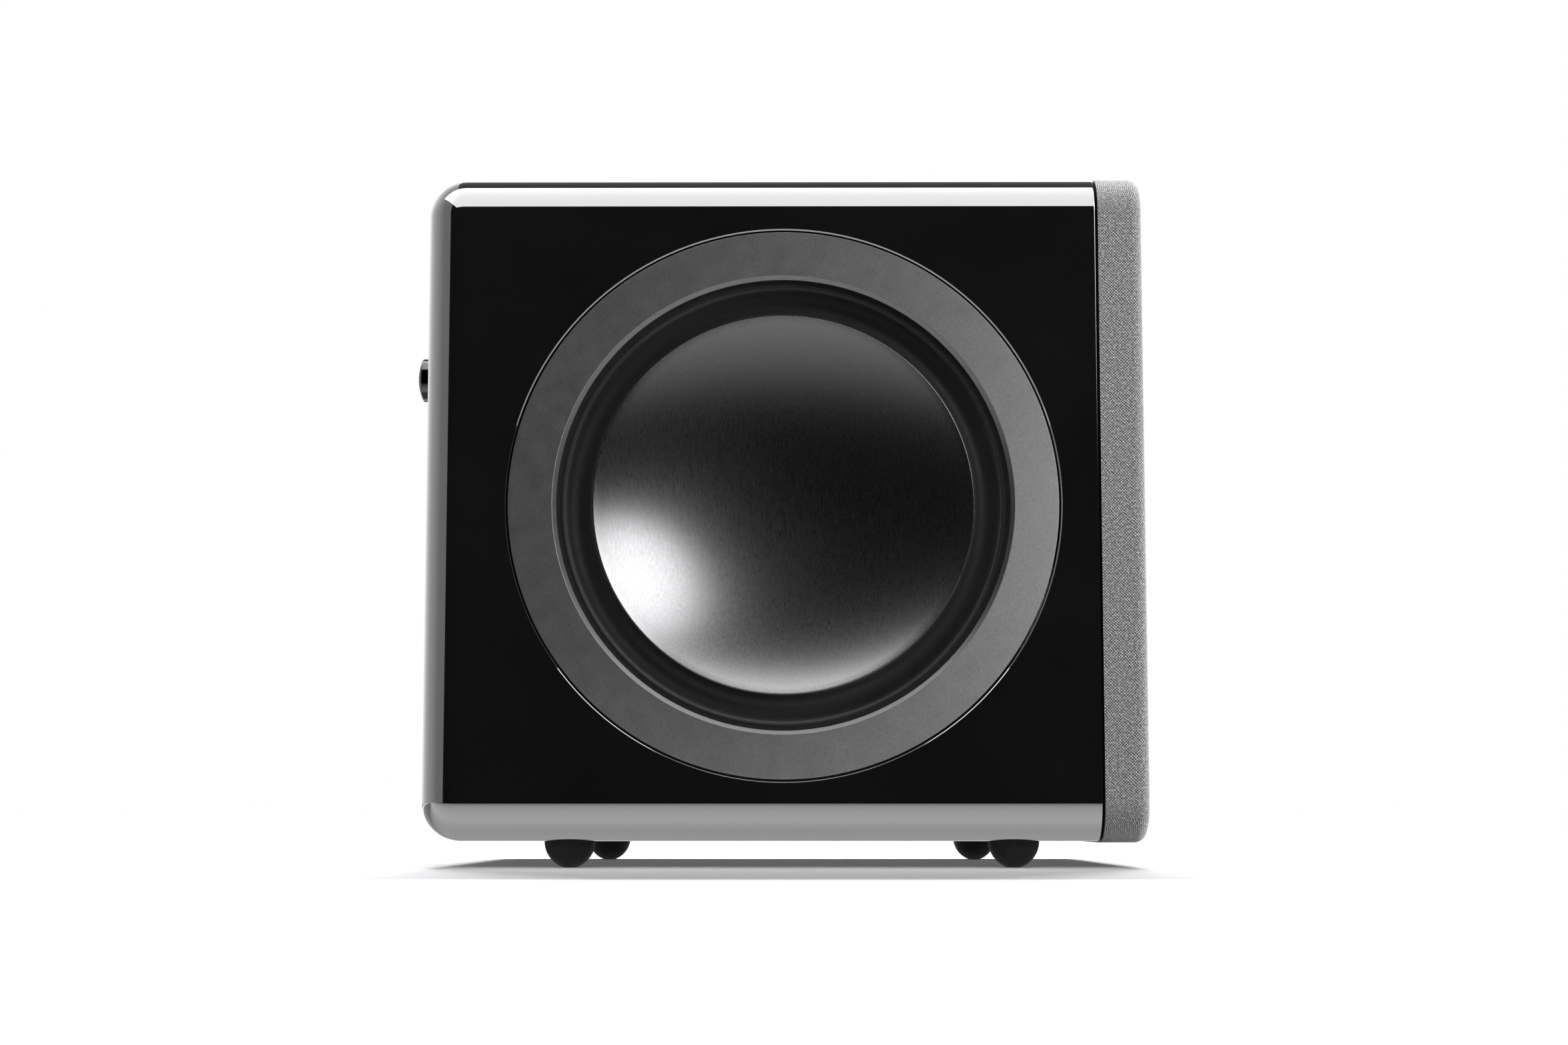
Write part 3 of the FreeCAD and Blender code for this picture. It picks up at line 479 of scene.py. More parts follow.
def grille_cloth():
    """Knotted weave, laid out flat in the UVs, whose units are millimetres."""
    knot_pitch = 1.02
    paint = Paint("grille_cloth", specular_ior_level=0.25, sheen_weight=0.4, sheen_roughness=0.4)
    warp = paint.noise(6, 2, uv=True)
    parts = paint.node("ShaderNodeSeparateXYZ", (0, paint.places(uv=True)))
    shift = paint.maths("MULTIPLY", warp, 1.2)
    u = paint.maths("ADD", parts.outputs[0], shift)
    v = paint.maths("ADD", parts.outputs[1], shift)
    waves = []
    for total in (paint.maths("ADD", u, v), paint.maths("SUBTRACT", u, v)):
        turn = paint.maths("MULTIPLY", total, pi / knot_pitch)
        waves.append(paint.maths("POWER", paint.maths("SINE", turn), 2.0))
    knots = paint.maths("MULTIPLY", waves[0], waves[1])
    uneven = paint.maths("ADD", knots, paint.spread(paint.noise(0.9, 3, uv=True), -0.25, 0.25))
    paint.colour(uneven, grey(0.022), grey(0.27), 0.0, 1.0)
    paint.rough(paint.noise(3, uv=True), 0.8, 0.95)
    paint.bump(uneven, 0.25, 0.8)
    return paint.material


def knob_chrome():
    """Dark polished metal."""
    paint = Paint("dark_chrome", metallic=1.0)
    paint.colour(paint.noise(9), grey(0.035), grey(0.05))
    paint.rough(paint.noise(4), 0.10, 0.16)
    paint.bump(paint.noise(0.3), 0.002)
    return paint.material


def foot_rubber():
    """Dull moulded rubber."""
    paint = Paint("foot_rubber", specular_ior_level=0.12)
    paint.colour(paint.noise(3, 4), grey(0.002), grey(0.004))
    paint.rough(paint.noise(4), 0.55, 0.68)
    paint.bump(paint.noise(0.5, 4), 0.03)
    return paint.material


LACQUER = lacquer()
RING = satin_ring()
RUBBER = surround_rubber()
DISH = brushed_dish()
CLOTH = grille_cloth()
CHROME = knob_chrome()
FOOT = foot_rubber()
PLASTIC = simple("black_plastic", grey(0.016), grey(0.024), 0.40, 0.52, 1.0, 0.02, 0.4).material
PANEL = simple("panel_paint", grey(0.018), grey(0.028), 0.48, 0.58, 1.2, 0.04, 0.45).material
NICKEL = simple(
    "nickel", grey(0.50), grey(0.60), 0.18, 0.28, 0.8, 0.003, 0.3, metallic=1.0
).material
BLACK_ZINC = simple(
    "black_zinc", grey(0.10), grey(0.15), 0.26, 0.38, 0.8, 0.006, 0.3, metallic=1.0
).material
INK = simple("dial_ink", grey(0.55), grey(0.68), 0.5, 0.6, 1.0, 0.004, 0.3).material
LENS = simple(
    "led_lens", (0.04, 0.30, 0.08), (0.06, 0.42, 0.12), 0.12, 0.2, 0.8, 0.0,
    transmission_weight=0.2,
).material


def wound_copper():
    """Copper wire laid in turns."""
    paint = simple("copper", (0.42, 0.15, 0.06), (0.62, 0.26, 0.10), 0.2, 0.3, depth=0, metallic=1.0)
    wave = paint.node("ShaderNodeTexWave", (0, paint.places()), bands_direction="X")
    wave.inputs["Scale"].default_value = 0.6
    paint.bump(wave.outputs["Fac"], 0.1)
    return paint.material


def woven(name, dark, light, pitch):
    """Open cloth, woven in all three directions so that it suits any facing."""
    paint = Paint(name, specular_ior_level=0.3)
    parts = paint.node("ShaderNodeSeparateXYZ", (0, paint.places()))
    waves = [
        paint.maths("SINE", paint.maths("MULTIPLY", parts.outputs[i], 2 * pi / pitch))
        for i in range(3)
    ]
    weave = paint.maths("MULTIPLY", paint.maths("ADD", waves[0], waves[1]), waves[2])
    paint.colour(weave, dark, light, -1, 1)
    paint.rough(paint.noise(3), 0.65, 0.8)
    paint.bump(weave, 0.06)
    return paint.material


SLOT_MATERIALS = {
    "piano_black": LACQUER,
    "foot_rubber": FOOT,
    "zinc_screw": BLACK_ZINC,
    "grille_cloth": CLOTH,
    "black_plastic": PLASTIC,
    "driver_rubber": RUBBER,
    "satin_ring": RING,
    "spun_aluminium": DISH,
    "cast_frame": simple(
        "powder_coat", grey(0.014), grey(0.022), 0.42, 0.55, 1.0, 0.05, 0.35
    ).material,
    "amber_cloth": woven("amber_cloth", (0.20, 0.09, 0.025), (0.42, 0.21, 0.07), 1.1),
    "steel": simple("zinc_steel", grey(0.36), grey(0.46), 0.25, 0.38, 2.0, 0.004, metallic=1.0).material,
    "ferrite": simple("ferrite", grey(0.030), grey(0.055), 0.45, 0.6, 2.0, 0.03, 0.6).material,
    "pulp_cone": simple("paper_pulp", grey(0.014), grey(0.030), 0.7, 0.85, 0.7, 0.12, 0.9).material,
    "former_aluminium": simple(
        "mill_aluminium", grey(0.52), grey(0.62), 0.28, 0.4, 1.5, 0.004, metallic=1.0
    ).material,
    "copper": wound_copper(),
    "panel_paint": PANEL,
    "knob_chrome": CHROME,
    "shaft_metal": NICKEL,
    "led_lens": LENS,
    "circuit_green": simple(
        "solder_mask", (0.01, 0.07, 0.03), (0.02, 0.12, 0.05), 0.25, 0.35, 1.5, 0.01
    ).material,
    "transformer_core": simple(
        "varnished_core", (0.18, 0.12, 0.03), (0.32, 0.22, 0.06), 0.35, 0.5, 1.0, 0.05
    ).material,
    "capacitor_sleeve": simple(
        "shrink_sleeve", (0.012, 0.018, 0.05), (0.02, 0.03, 0.08), 0.2, 0.3, 1.5, 0.01
    ).material,
    "wire_jacket": simple("wire_jacket", grey(0.08), grey(0.12), 0.4, 0.5, 1.0, 0.01).material,
    "wadding": simple("wadding", grey(0.50), grey(0.68), 0.9, 1.0, 0.9, 0.9, 0.8).material,
}
for part in frame["record"]["subparts"]:
    node = frame["nodes"][part["node"]]
    node.data.materials.clear()
    node.data.materials.append(SLOT_MATERIALS[part["material_slot"]])


# ---------------------------------------------------------------- cabinet
def cabinet():
    """The lacquered box: rounded outside, recesses for the drivers, and its real inside."""
    shape = Shape("row")
    cabinet_skin(shape)
    front_baffle(shape)
    side_wall(shape, "right")
    side_wall(shape, "left")
    rear_wall(shape)
    for height, side in ((cabinet_bottom + wall, 1.0), (cabinet_top - wall, -1.0)):
        lid = Shape("row")
        outline = rectangle(rear_x + wall, front_x - wall, -inner_width / 2, inner_width / 2)
        lid.flat(outline, [], height, side)
        merge(shape, lid)
    shape.build("cabinet_shell", LACQUER, replaces=["cabinet"])


def box_stations():
    """Outlines along the box: place, inset, and the normal's forward and sideways parts."""
    stations = []
    for k in range(front_steps + 1):
        a = pi / 2 * k / front_steps
        place = front_x - front_edge * (1 - cos(a))
        stations.append((place, front_edge * (1 - sin(a)), cos(a), sin(a)))
    for k in range(corner_steps + 1):
        a = pi / 2 * k / corner_steps
        place = rear_x + edge_radius * (1 - sin(a))
        stations.append((place, edge_radius * (1 - cos(a)), -sin(a), cos(a)))
    return stations


def cabinet_skin(shape):
    """The rounded outside, left open where the side walls' flat faces go."""
    rows, normals = [], []
    for x, inset, forward, sideways in box_stations():
        radius = max(edge_radius - inset, 1e-9)
        outline = rounded_loop(
            cabinet_width - 2 * inset, cabinet_height - 2 * inset, radius, corner_steps
        )
        loop, across = (looped(part) for part in outline)
        rows.append(np.column_stack([np.full(len(loop), x), loop[:, 0], loop[:, 1] + middle_z]))
        normals.append(np.column_stack([np.full(len(loop), forward), across * sideways]))
    quarter = corner_steps + 1
    open_quads = {(front_steps, 2 * quarter - 1), (front_steps, 4 * quarter - 1)}
    shape.grid(np.array(rows), np.array(normals), skip=open_quads)


def front_baffle(shape):
    """The front: the grille's sockets, the woofer's rebate and its hole."""
    front = Shape("front")
    loop, _ = rounded_loop(
        cabinet_width - 2 * front_edge, cabinet_height - 2 * front_edge,
        edge_radius - front_edge, corner_steps,
    )
    sockets = [(sx * socket_across, sy * socket_up) for sx in (-1, 1) for sy in (-1, 1)]
    holes = [circle(socket_radius, 32, x, y) for x, y in sockets]
    front.flat(loop, [circle(woofer_rebate), *holes], 0)
    depth = -woofer_rebate_depth
    rebate = [(woofer_rebate, 0), (woofer_rebate, depth), (woofer_hole, depth), (woofer_hole, -wall)]
    front.revolve(rebate, closed=False)
    socket = [(socket_radius, 0), (socket_radius, -socket_depth), (0, -socket_depth)]
    for place in sockets:
        front.revolve(socket, place, 32, False)
    merge(shape, front)
    back = Shape("front")
    back.flat(corners(inner_width, inner_height), [circle(woofer_hole)], -wall, -1)
    merge(shape, back)


def side_face(name, rear_end, front_end, height):
    """A rectangle of a side wall, in that side's own frame."""
    flip = 1 if name == "right" else -1
    start, end = sorted((flip * (rear_end - middle_x), flip * (front_end - middle_x)))
    return rectangle(start, end, -height / 2, height / 2)


def side_wall(shape, name):
    """One side: its flat outside, the rebate for the ring, the radiator's hole, and its inside."""
    side = Shape(name)
    height = cabinet_height - 2 * edge_radius
    outer = side_face(name, rear_x + edge_radius, front_x - front_edge, height)
    side.flat(outer, [circle(ring_mouth, 144)], 0)
    rebate = [
        (ring_mouth, 0), (ring_seat, ring_seat - ring_mouth), (ring_seat, -ring_rebate),
        (radiator_hole, -ring_rebate), (radiator_hole, -wall),
    ]
    side.revolve(rebate, steps=144, closed=False)
    inner = side_face(name, rear_x + wall, front_x - wall, inner_height)
    side.flat(inner, [circle(radiator_hole, 144)], -wall, -1)
    merge(shape, side)


def rear_wall(shape):
    """The rear: a shallow pocket for the plate, and the window behind it."""
    rear = Shape("rear")
    pocket, pocket_normals = rounded_loop(
        plate_width + 2 * pocket_gap, plate_height + 2 * pocket_gap, plate_corner + pocket_gap, 8
    )
    window, window_normals = rounded_loop(window_width, window_height, plate_corner, 8)
    outer = corners(cabinet_width - 2 * edge_radius, cabinet_height - 2 * edge_radius)
    rear.flat(outer, [pocket], 0)
    rear.flat(pocket, [window], -pocket_depth)
    rear.flat(corners(inner_width, inner_height), [window], -wall, -1)
    curtain(rear, pocket, -pocket_normals, 0, -pocket_depth)
    curtain(rear, window, -window_normals, -pocket_depth, -wall)
    merge(shape, rear)


def curtain(shape, loop, normals, top, bottom):
    """A wall hanging from a loop."""
    loop, normals = looped(loop), looped(normals)
    flat = raised(normals, 0)
    shape.grid(np.array([raised(loop, top), raised(loop, bottom)]), np.array([flat, flat]))


def merge(target, source):
    """Adds one shape's faces to another that is in row coordinates."""
    points = np.vstack(source.points) @ source.axes + source.origin
    target.add(points, np.vstack(source.normals) @ source.axes, source.faces, np.vstack(source.uvs))


# ---------------------------------------------------------------- radiators
def trim_ring(side):
    """The flush ring, whose inner edge slopes back to the rubber."""
    shape = Shape(side)
    points = [
        (ring_inner + ring_slope, ring_top), (ring_outer, ring_top), (ring_outer, ring_bottom),
        (ring_inner, ring_bottom), (ring_inner, ring_top - ring_slope),
    ]
    shape.revolve(eased(points, 0.22, 4), steps=192)
    name = f"{side}_trim_ring"
    shape.build(name, RING, replaces=[f"{side}_radiator_trim_ring"])


def surround(side):
    """Flat flange with a raised bead, then the sunk half roll down to the dish."""
    lip_top = dish_rim - dish_skin
    middle = (roll_outer + roll_inner) / 2
    roll_bottom = ring_bottom - roll_depth
    bead_start = (bead_outer, ring_bottom)
    bead_end = (bead_inner, ring_bottom + 0.02)
    top = [(surround_outer, ring_bottom), (bead_outer + 0.2, ring_bottom)]
    top += arc3(bead_start, (bead_crest, ring_bottom + bead_rise), bead_end, 8)
    top += arc3((roll_outer, ring_bottom - 0.1), (middle, roll_bottom), (roll_inner, lip_top), 40)
    top += [(surround_lip, lip_top)]
    under = [(surround_lip, lip_top - rubber)]
    under += arc3(
        (roll_inner - rubber, lip_top - rubber), (middle, roll_bottom - rubber),
        (roll_outer + rubber, ring_bottom - surround_skin), 30,
    )
    under += [(surround_outer, ring_bottom - surround_skin)]
    shape = Shape(side)
    shape.revolve(top + under, steps=192, smooth=50)
    name = f"{side}_surround"
    obj = shape.build(name, RUBBER, None, [f"{side}_radiator_surround"])
    flexing(obj, side, roll_inner, roll_outer)


def flexing(obj, place, inner, outer):
    """Bakes the object's transform and works out a weight from the outer edge to the inner one; the
    weight is not put to use.
    """
    origin, _, outward = PLACES[place]
    start = [c * MM for c in origin]
    end = [c * MM + 0.01 * o for c, o in zip(origin, outward)]
    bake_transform(obj)
    points = np.array([v.co for v in obj.data.vertices]) / MM - np.array(origin)
    points -= np.outer(points @ np.array(outward), outward)
    radius = np.linalg.norm(points, axis=1)
    weight = np.clip((outer - radius) / (outer - inner), 0, 1)
    weight = weight * weight * (3 - 2 * weight)


def dish_height(radius, offset=0.0, rim_radius=dish_radius):
    """Height of the dish's sphere where it meets the rim's height at rim_radius."""
    centre = dish_rim + sqrt(dish_sphere**2 - rim_radius**2)
    return centre - sqrt((dish_sphere + offset) ** 2 - radius**2)


def dish(side):
    """The concave dish, its thin flat rim and the neck behind it."""
    under = dish_rim - dish_skin
    front = [(r, dish_height(r, 0, bright_radius)) for r in np.linspace(0, bright_radius, 33)]
    rim = bend(front[-1], (roll_inner, dish_rim), (roll_inner, under), 0.25, 4)
    seat = [(roll_inner, under), (surround_lip - 0.1, under)]
    radii = np.linspace(dish_radius - 0.4, neck_outer, 20)
    back = [(r, dish_height(r, dish_skin) - 0.05) for r in radii]
    neck = [(neck_outer, neck_end), (neck_inner, neck_end)]
    middle = [(r, dish_height(r, dish_skin)) for r in np.linspace(neck_inner, 0, 10)]
    shape = Shape(side)
    shape.revolve(front + rim + seat + back + neck + middle, steps=192)
    shape.build(f"{side}_dish", DISH, f"{side}_piston", [f"{side}_radiator_cone"])


def wavy(inner, outer, height, waves, depth, skin):
    """A spider's smooth corrugations between two flat rims."""
    rim = (outer - inner) * 0.12
    start, end = inner + rim, outer - rim
    radii = np.linspace(start, end, waves * 10 + 1)
    swing = [depth * sin(pi * waves * 2 * (r - start) / (end - start)) for r in radii]
    top = [(inner, height)] + [(r, height + s) for r, s in zip(radii, swing)] + [(outer, height)]
    return top + [(r, h - skin) for r, h in reversed(top)]


def spider(place, name, node, piston, inner, outer, height):
    """A corrugated disc of cloth that centres the moving piece."""
    shape = Shape(place)
    shape.revolve(wavy(inner, outer, height, 5, 1.1, 0.8), smooth=60)
    obj = shape.build(name, SLOT_MATERIALS["amber_cloth"], None, [node])
    flexing(obj, place, inner + 3, outer - 3)


# ---------------------------------------------------------------- front woofer and wadding
def woofer():
    """The woofer's half roll and its spider."""
    middle = (woofer_outer + woofer_inner) / 2
    under = -woofer_skin
    top = [(woofer_flange, 0.0)]
    top += arc3((woofer_outer, 0), (middle, woofer_rise), (woofer_inner, 0), 32)
    top += [(woofer_lip, 0.0), (woofer_lip, under)]
    back = arc3(
        (woofer_inner + woofer_skin, under), (middle, woofer_rise - woofer_skin),
        (woofer_outer - woofer_skin, under), 26,
    )
    shape = Shape("front")
    shape.revolve(top + back + [(woofer_flange, under)], steps=160, smooth=50)
    obj = shape.build("woofer_roll", RUBBER, None, ["woofer_surround"])
    flexing(obj, "front", woofer_inner, woofer_outer)
    spider("front", "woofer_spider_cloth", "woofer_spider", "woofer_piston", *woofer_spider)


def wadding():
    """A fibre pad glued under the lid: flat on top, rounded and lumpy below."""
    top, thickness = cabinet_top - wall, 13.0
    loop, _ = rounded_loop(124.0, 140.0, 13.0, 10)
    loop += (middle_x, 0.0)
    shape = Shape("row")
    shape.flat(loop, [], top, 1)
    loop = looped(loop)
    rows = [raised(loop, top)]
    for reach in np.linspace(1, 0, 30):
        places = (loop - (middle_x, 0.0)) * reach + (middle_x, 0.0)
        swell = 0.55 + 0.45 * sqrt(1 - reach**4)
        lumps = 0.5 + 0.5 * np.sin(places[:, 0] / 9) * np.sin(places[:, 1] / 7 + 1)
        depth = thickness * swell * (1 - 0.18 * lumps)
        rows.append(raised(places, top - depth))
    points = np.array(rows)
    normals = np.cross(np.gradient(points, axis=0), np.gradient(points, axis=1))
    length = np.linalg.norm(normals, axis=2, keepdims=True)
    normals = np.where(length > 1e-6, normals / np.maximum(length, 1e-6), (0, 0, -1.0))
    if normals[10:-2, :, 2].mean() > 0:  # away from the rim, the underside faces down
        normals[:-1] *= -1
    shape.grid(points, normals)
    obj = shape.build(
        "wadding_pad", SLOT_MATERIALS["wadding"], "enclosure", ["acoustic_wadding"]
    )


# ---------------------------------------------------------------- feet and grille
def feet():
    """Domed rubber feet with a small flat underneath."""
    run = foot_radius - foot_flat
    dome = (run**2 + foot_height**2) / (2 * run)
    centre = foot_radius - dome
    lowest = asin(foot_height / dome)
    side = [
        (centre + dome * cos(a), foot_height - dome * sin(a))
        for a in np.linspace(0, lowest, 20)
    ]
    profile = side + [(0, 0), (0, foot_height)]
    for node in ("foot_front_left", "foot_front_right", "foot_rear_left", "foot_rear_right"):
        low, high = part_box(node)
        middle = (low + high) / 2 / MM
        shape = Shape("row")
        shape.revolve(profile, (middle.x, middle.y), 64)
        shape.build(f"{node}_rubber", FOOT, replaces=[node])


def nose_stations(face, nose):
    """Up the grille's side and round its nose: height, inset, and the normal's two parts."""
    stations = [(grille_back, 0.0, 0.0, 1.0), (face - nose, 0.0, 0.0, 1.0)]
    for k in range(1, 9):
        a = pi / 2 * k / 8
        height = face - nose * (1 - sin(a))
        stations.append((height, nose * (1 - cos(a)), sin(a), cos(a)))
    return stations


def cloth_layer(shape, layer, side):
    """One face of the cloth; its UVs lay it out flat from the middle outward."""
    width, height = grille_width - 2 * layer, grille_height - 2 * layer
    corner, nose = grille_corner - layer, grille_nose - layer
    face = grille_face - layer
    far = nose * pi / 2 + face - nose - grille_back
    edge, _ = rounded_loop(width - 2 * nose, height - 2 * nose, corner - nose, cloth_steps)
    rows, normals, uvs = [], [], []
    stations = nose_stations(face, nose)
    last = stations[0]
    for station in stations:
        up, inset, outward, sideways = station
        far -= hypot(up - last[0], inset - last[1])
        last = station
        outline = rounded_loop(width - 2 * inset, height - 2 * inset, corner - inset, cloth_steps)
        loop, across = (looped(part) for part in outline)
        rows.append(raised(loop, up))
        normals.append(raised(across * sideways, outward) * side)
        uvs.append(looped(edge) + across * max(far, 0))
    shape.grid(np.array(rows), np.array(normals), np.array(uvs))
    shape.flat(edge, [], face, side)


def grille():
    """Cloth wrapped over a rounded frame: one closed skin."""
    shape = Shape("front")
    cloth_layer(shape, 0.0, 1.0)
    cloth_layer(shape, cloth_skin, -1.0)
    outer, _ = rounded_loop(grille_width, grille_height, grille_corner, cloth_steps)
    inner, _ = rounded_loop(
        grille_width - 2 * cloth_skin, grille_height - 2 * cloth_skin,
        grille_corner - cloth_skin, cloth_steps,
    )
    shape.flat(outer, [inner], grille_back, -1.0)
    obj = shape.build("grille_cloth", CLOTH, "grille", ["grille_fabric"])


# ---------------------------------------------------------------- rear controls
def knob(name, across):
    """A turned knob with a domed end and a fine rim."""
    end, edge, bore = 11.4, 8.0, 3.0
    crown = arc3((7.3, end - 1.6), (4.0, end - 0.55), (0, end), 14)
    crown = crown[:-1] + [(0, end)]
    side = [(bore, 0.5)] + bend((bore, 0.5), (edge, 0.5), (edge, 5.0), 0.3, 3)
    side += bend((edge, 5.0), (edge, end - 2.0), (7.3, end - 1.6), 0.35, 4)
    profile = side + crown + [(0, 8.5), (bore, 8.5)]
    shape = Shape("rear")
    shape.revolve(profile, (across, knob_row), 96)
    body = f"{name}_control"
    shape.build(f"{name}_dial", CHROME, body, [f"{name}_knob"])
    pointer = Shape("rear")
    slab(pointer, 0.9, 4.6, end - 1.6, end - 0.35, across, knob_row + 5.0)
    pointer.build(f"{name}_pointer", INK, body)
    dial_scale(name, across)


def dial_scale(name, across):
    """Eleven printed tick marks round a knob; every fifth one is longer."""
    ticks = Shape("rear")
    for k in range(11):
        a = radians(230 - 28 * k)
        direction = np.array([cos(a), sin(a)])
        tick_mark(ticks, np.array([across, knob_row]), direction, 10.0, 12.4 if k % 5 else 13.4)
    ticks.build(f"{name}_scale", INK)


def slab(shape, width, height, low, high, x, y):
    """A small block."""
    loop = corners(width, height, x, y)
    shape.flat(loop, [], high, 1)
    shape.flat(loop, [], low, -1)
    walls(shape, loop, low, high, 1)


def walls(shape, loop, start, end, side):
    """Flat walls between two heights of a loop, facing out of it (1) or into it (-1)."""
    for a, b in zip(loop, np.roll(loop, -1, axis=0)):
        normal = np.array([b[1] - a[1], a[0] - b[0], 0.0]) * side
        normal /= np.linalg.norm(normal)
        points = np.array([[(*a, start), (*b, start)], [(*a, end), (*b, end)]])
        shape.grid(points, np.tile(normal, (2, 2, 1)))


def tick_mark(shape, centre, direction, start, end):
    """A short printed line on the rear plate."""
    across = np.array([-direction[1], direction[0]]) * 0.25
    a, b = centre + direction * start, centre + direction * end
    loop = [tuple(a - across), tuple(b - across), tuple(b + across), tuple(a + across)]
    shape.flat(loop, [], 0.04, 1)
    shape.flat(loop, [], 0.01, -1)


def jacks():
    """The line jacks' nickel shells, each with a wider face at its end."""
    shells = Shape("rear")
    bore, shell, face = 3.3, 3.85, 4.15
    face_start, face_end = 1.3, 9
    profile = [
        (bore, -3), (shell, -3), (shell, face_start), (face, face_start), (face, face_end),
        (bore, face_end),
    ]
    for across in jacks_across:
        shells.revolve(eased(profile, 0.1, 2), (across, jack_row), 48)
    shells.build("line_jack_shells", NICKEL, replaces=["rca_shells"])


def screws():
    """Round heads with a small round recess on the rear plate."""
    shape = Shape("rear")
    head, shank = 3.1, 1.7
    dome = arc3((head, 0.57), (1.7, 1.42), (0, 1.7), 8)[:-1]
    profile = [(0, -13), (shank, -11.3), (shank, 0), (head, 0), *dome]
    profile += [(0.75, 1.62), (0.5, 0.7), (0, 0.7)]
    for place in plate_screws:
        shape.revolve(profile, place, 40)
    shape.build("panel_screw_heads", BLACK_ZINC, replaces=["panel_screws"])


def plate_holes():
    """Holes for the knobs, the light, the jacks, the screws, the switches and the mains."""
    round_holes = [(3.6, across, knob_row) for across in knobs.values()]
    round_holes += [(1.6, 32.0, knob_row)]
    round_holes += [(5.2, across, jack_row) for across in jacks_across]
    round_holes += [(1.8, x, y) for x, y in plate_screws]
    square_holes = [(7.6, 3.6, -28.0, knob_row), (7.6, 3.6, -58.0, knob_row)]
    square_holes += [(27.2, 20.0, -42.0, -62.0), (19.2, 13.2, 4.0, -62.0)]
    loops = [circle(r, 40, x, y) for r, x, y in round_holes]
    return loops + [np.array(corners(*hole)) for hole in square_holes]


def rear_plate():
    """The rear plate with an eased outer edge and straight-walled cut-outs."""
    shape = Shape("rear")
    bottom = -plate_thickness
    ease = plate_ease
    outer, outer_normals = rounded_loop(plate_width, plate_height, plate_corner, 10)
    inner, _ = rounded_loop(plate_width - 2 * ease, plate_height - 2 * ease, plate_corner - ease, 10)
    loops = plate_holes()
    shape.flat(inner, loops, 0.0)
    shape.flat(outer, loops, bottom, -1)
    slope = sqrt(0.5)
    bevel = looped(raised(outer_normals * slope, slope))
    rows = np.array([looped(raised(inner, 0.0)), looped(raised(outer, -ease))])
    shape.grid(rows, np.array([bevel, bevel]))
    curtain(shape, outer, outer_normals, -ease, bottom)
    for loop in loops:
        walls(shape, loop, 0.0, bottom, -1)
    shape.build("rear_plate", PANEL, replaces=["amp_panel"])


cabinet()
for side_name in ("right", "left"):
    trim_ring(side_name)
    surround(side_name)
    dish(side_name)
    spider(
        side_name, f"{side_name}_spider_cloth", f"{side_name}_radiator_spider",
        f"{side_name}_piston", *radiator_spider,
    )
woofer()
wadding()
feet()
grille()
for knob_name, knob_across in knobs.items():
    knob(knob_name, knob_across)
jacks()
screws()
rear_plate()


# ---------------------------------------------------------------- floor, light and camera
def plane(name, material, reach, height=0.0):
    """A square of floor."""
    mesh = bpy.data.meshes.new(name)
    square = [(x, y, height) for x, y in corners(2 * reach, 2 * reach)]
    mesh.from_pydata(square, [], [(0, 1, 2, 3)])
    mesh.materials.append(material)
    obj = bpy.data.objects.new(name, mesh)
    scene.collection.objects.link(obj)
    return obj


def floor():
    """A white floor, and a small glowing sheet, seen only in reflections, that paints the lit floor's
    reflection near the box, with a painted shadow under it.
    """
    paint = Paint("floor_paper", specular_ior_level=0.1)
    paint.colour(paint.noise(300), grey(0.86), grey(0.88))
    paint.rough(paint.noise(200), 0.8, 0.9)
    plane("studio_floor", paint.material, 6.0).visible_glossy = False
    # A sheet that glows though it is no lamp: a painted reflection of the lit floor, fading with
    # distance from the box.
    paint = Paint("painted_floor_glow", specular_ior_level=0.0, base_color=(0, 0, 0, 1))
    paint.shader.inputs["Emission Color"].default_value = (1, 1, 1, 1)
    parts = paint.node("ShaderNodeSeparateXYZ", (0, paint.places()))
    distance = paint.maths("ABSOLUTE", parts.outputs[1])
    far = paint.spread(distance, 2.4, 0.0, 120.0, 440.0)
    # Painted shadow: the glow drops to a quarter of its strength under the cabinet.
    under = paint.spread(distance, 0.25, 1.0, 92.0, 124.0)
    glow = paint.maths("MULTIPLY", far, under)
    paint.tree.links.new(glow, paint.shader.inputs["Emission Strength"])
    near = plane("near_floor", paint.material, 0.9, 0.0002)
    near.visible_camera = near.visible_diffuse = near.visible_shadow = False


def lamp(name, kind, place, target, strength, **settings):
    """A light that the camera doesn't see itself."""
    data = bpy.data.lights.new(name, kind)
    obj = bpy.data.objects.new(name, data)
    obj.location = place
    obj.rotation_euler = (Vector(target) - Vector(place)).to_track_quat("-Z", "Y").to_euler()
    obj.visible_camera = False
    for key, value in settings.items():
        setattr(data, key, value)
    data.energy = strength
    scene.collection.objects.link(obj)
    return obj


def panel_light(name, place, target, size, radiance):
    """A rectangular soft light whose strength is given as radiance, not as power."""
    strength = radiance * pi * size[0] * size[1]
    return lamp(
        name, "AREA", place, target, strength, shape="RECTANGLE", size=size[0], size_y=size[1]
    )


def only_in_reflections(light):
    light.visible_diffuse = light.visible_transmission = False


def only_soft_light(light):
    light.visible_glossy = False


def light_links(light, names, state):
    """Lights only the named objects, or everything but them."""
    group = bpy.data.collections.new(f"{light.name}_links")
    for name in names:
        group.objects.link(bpy.data.objects[name])
    light.light_linking.receiver_collection = group
    for entry in group.collection_objects:
        entry.light_linking.link_state = state


def direction(azimuth, elevation):
    """Unit vector: azimuth 0 is toward the camera's side, positive toward the grille."""
    a, e = radians(azimuth), radians(elevation)
    return (sin(a) * cos(e), -cos(a) * cos(e), sin(e))


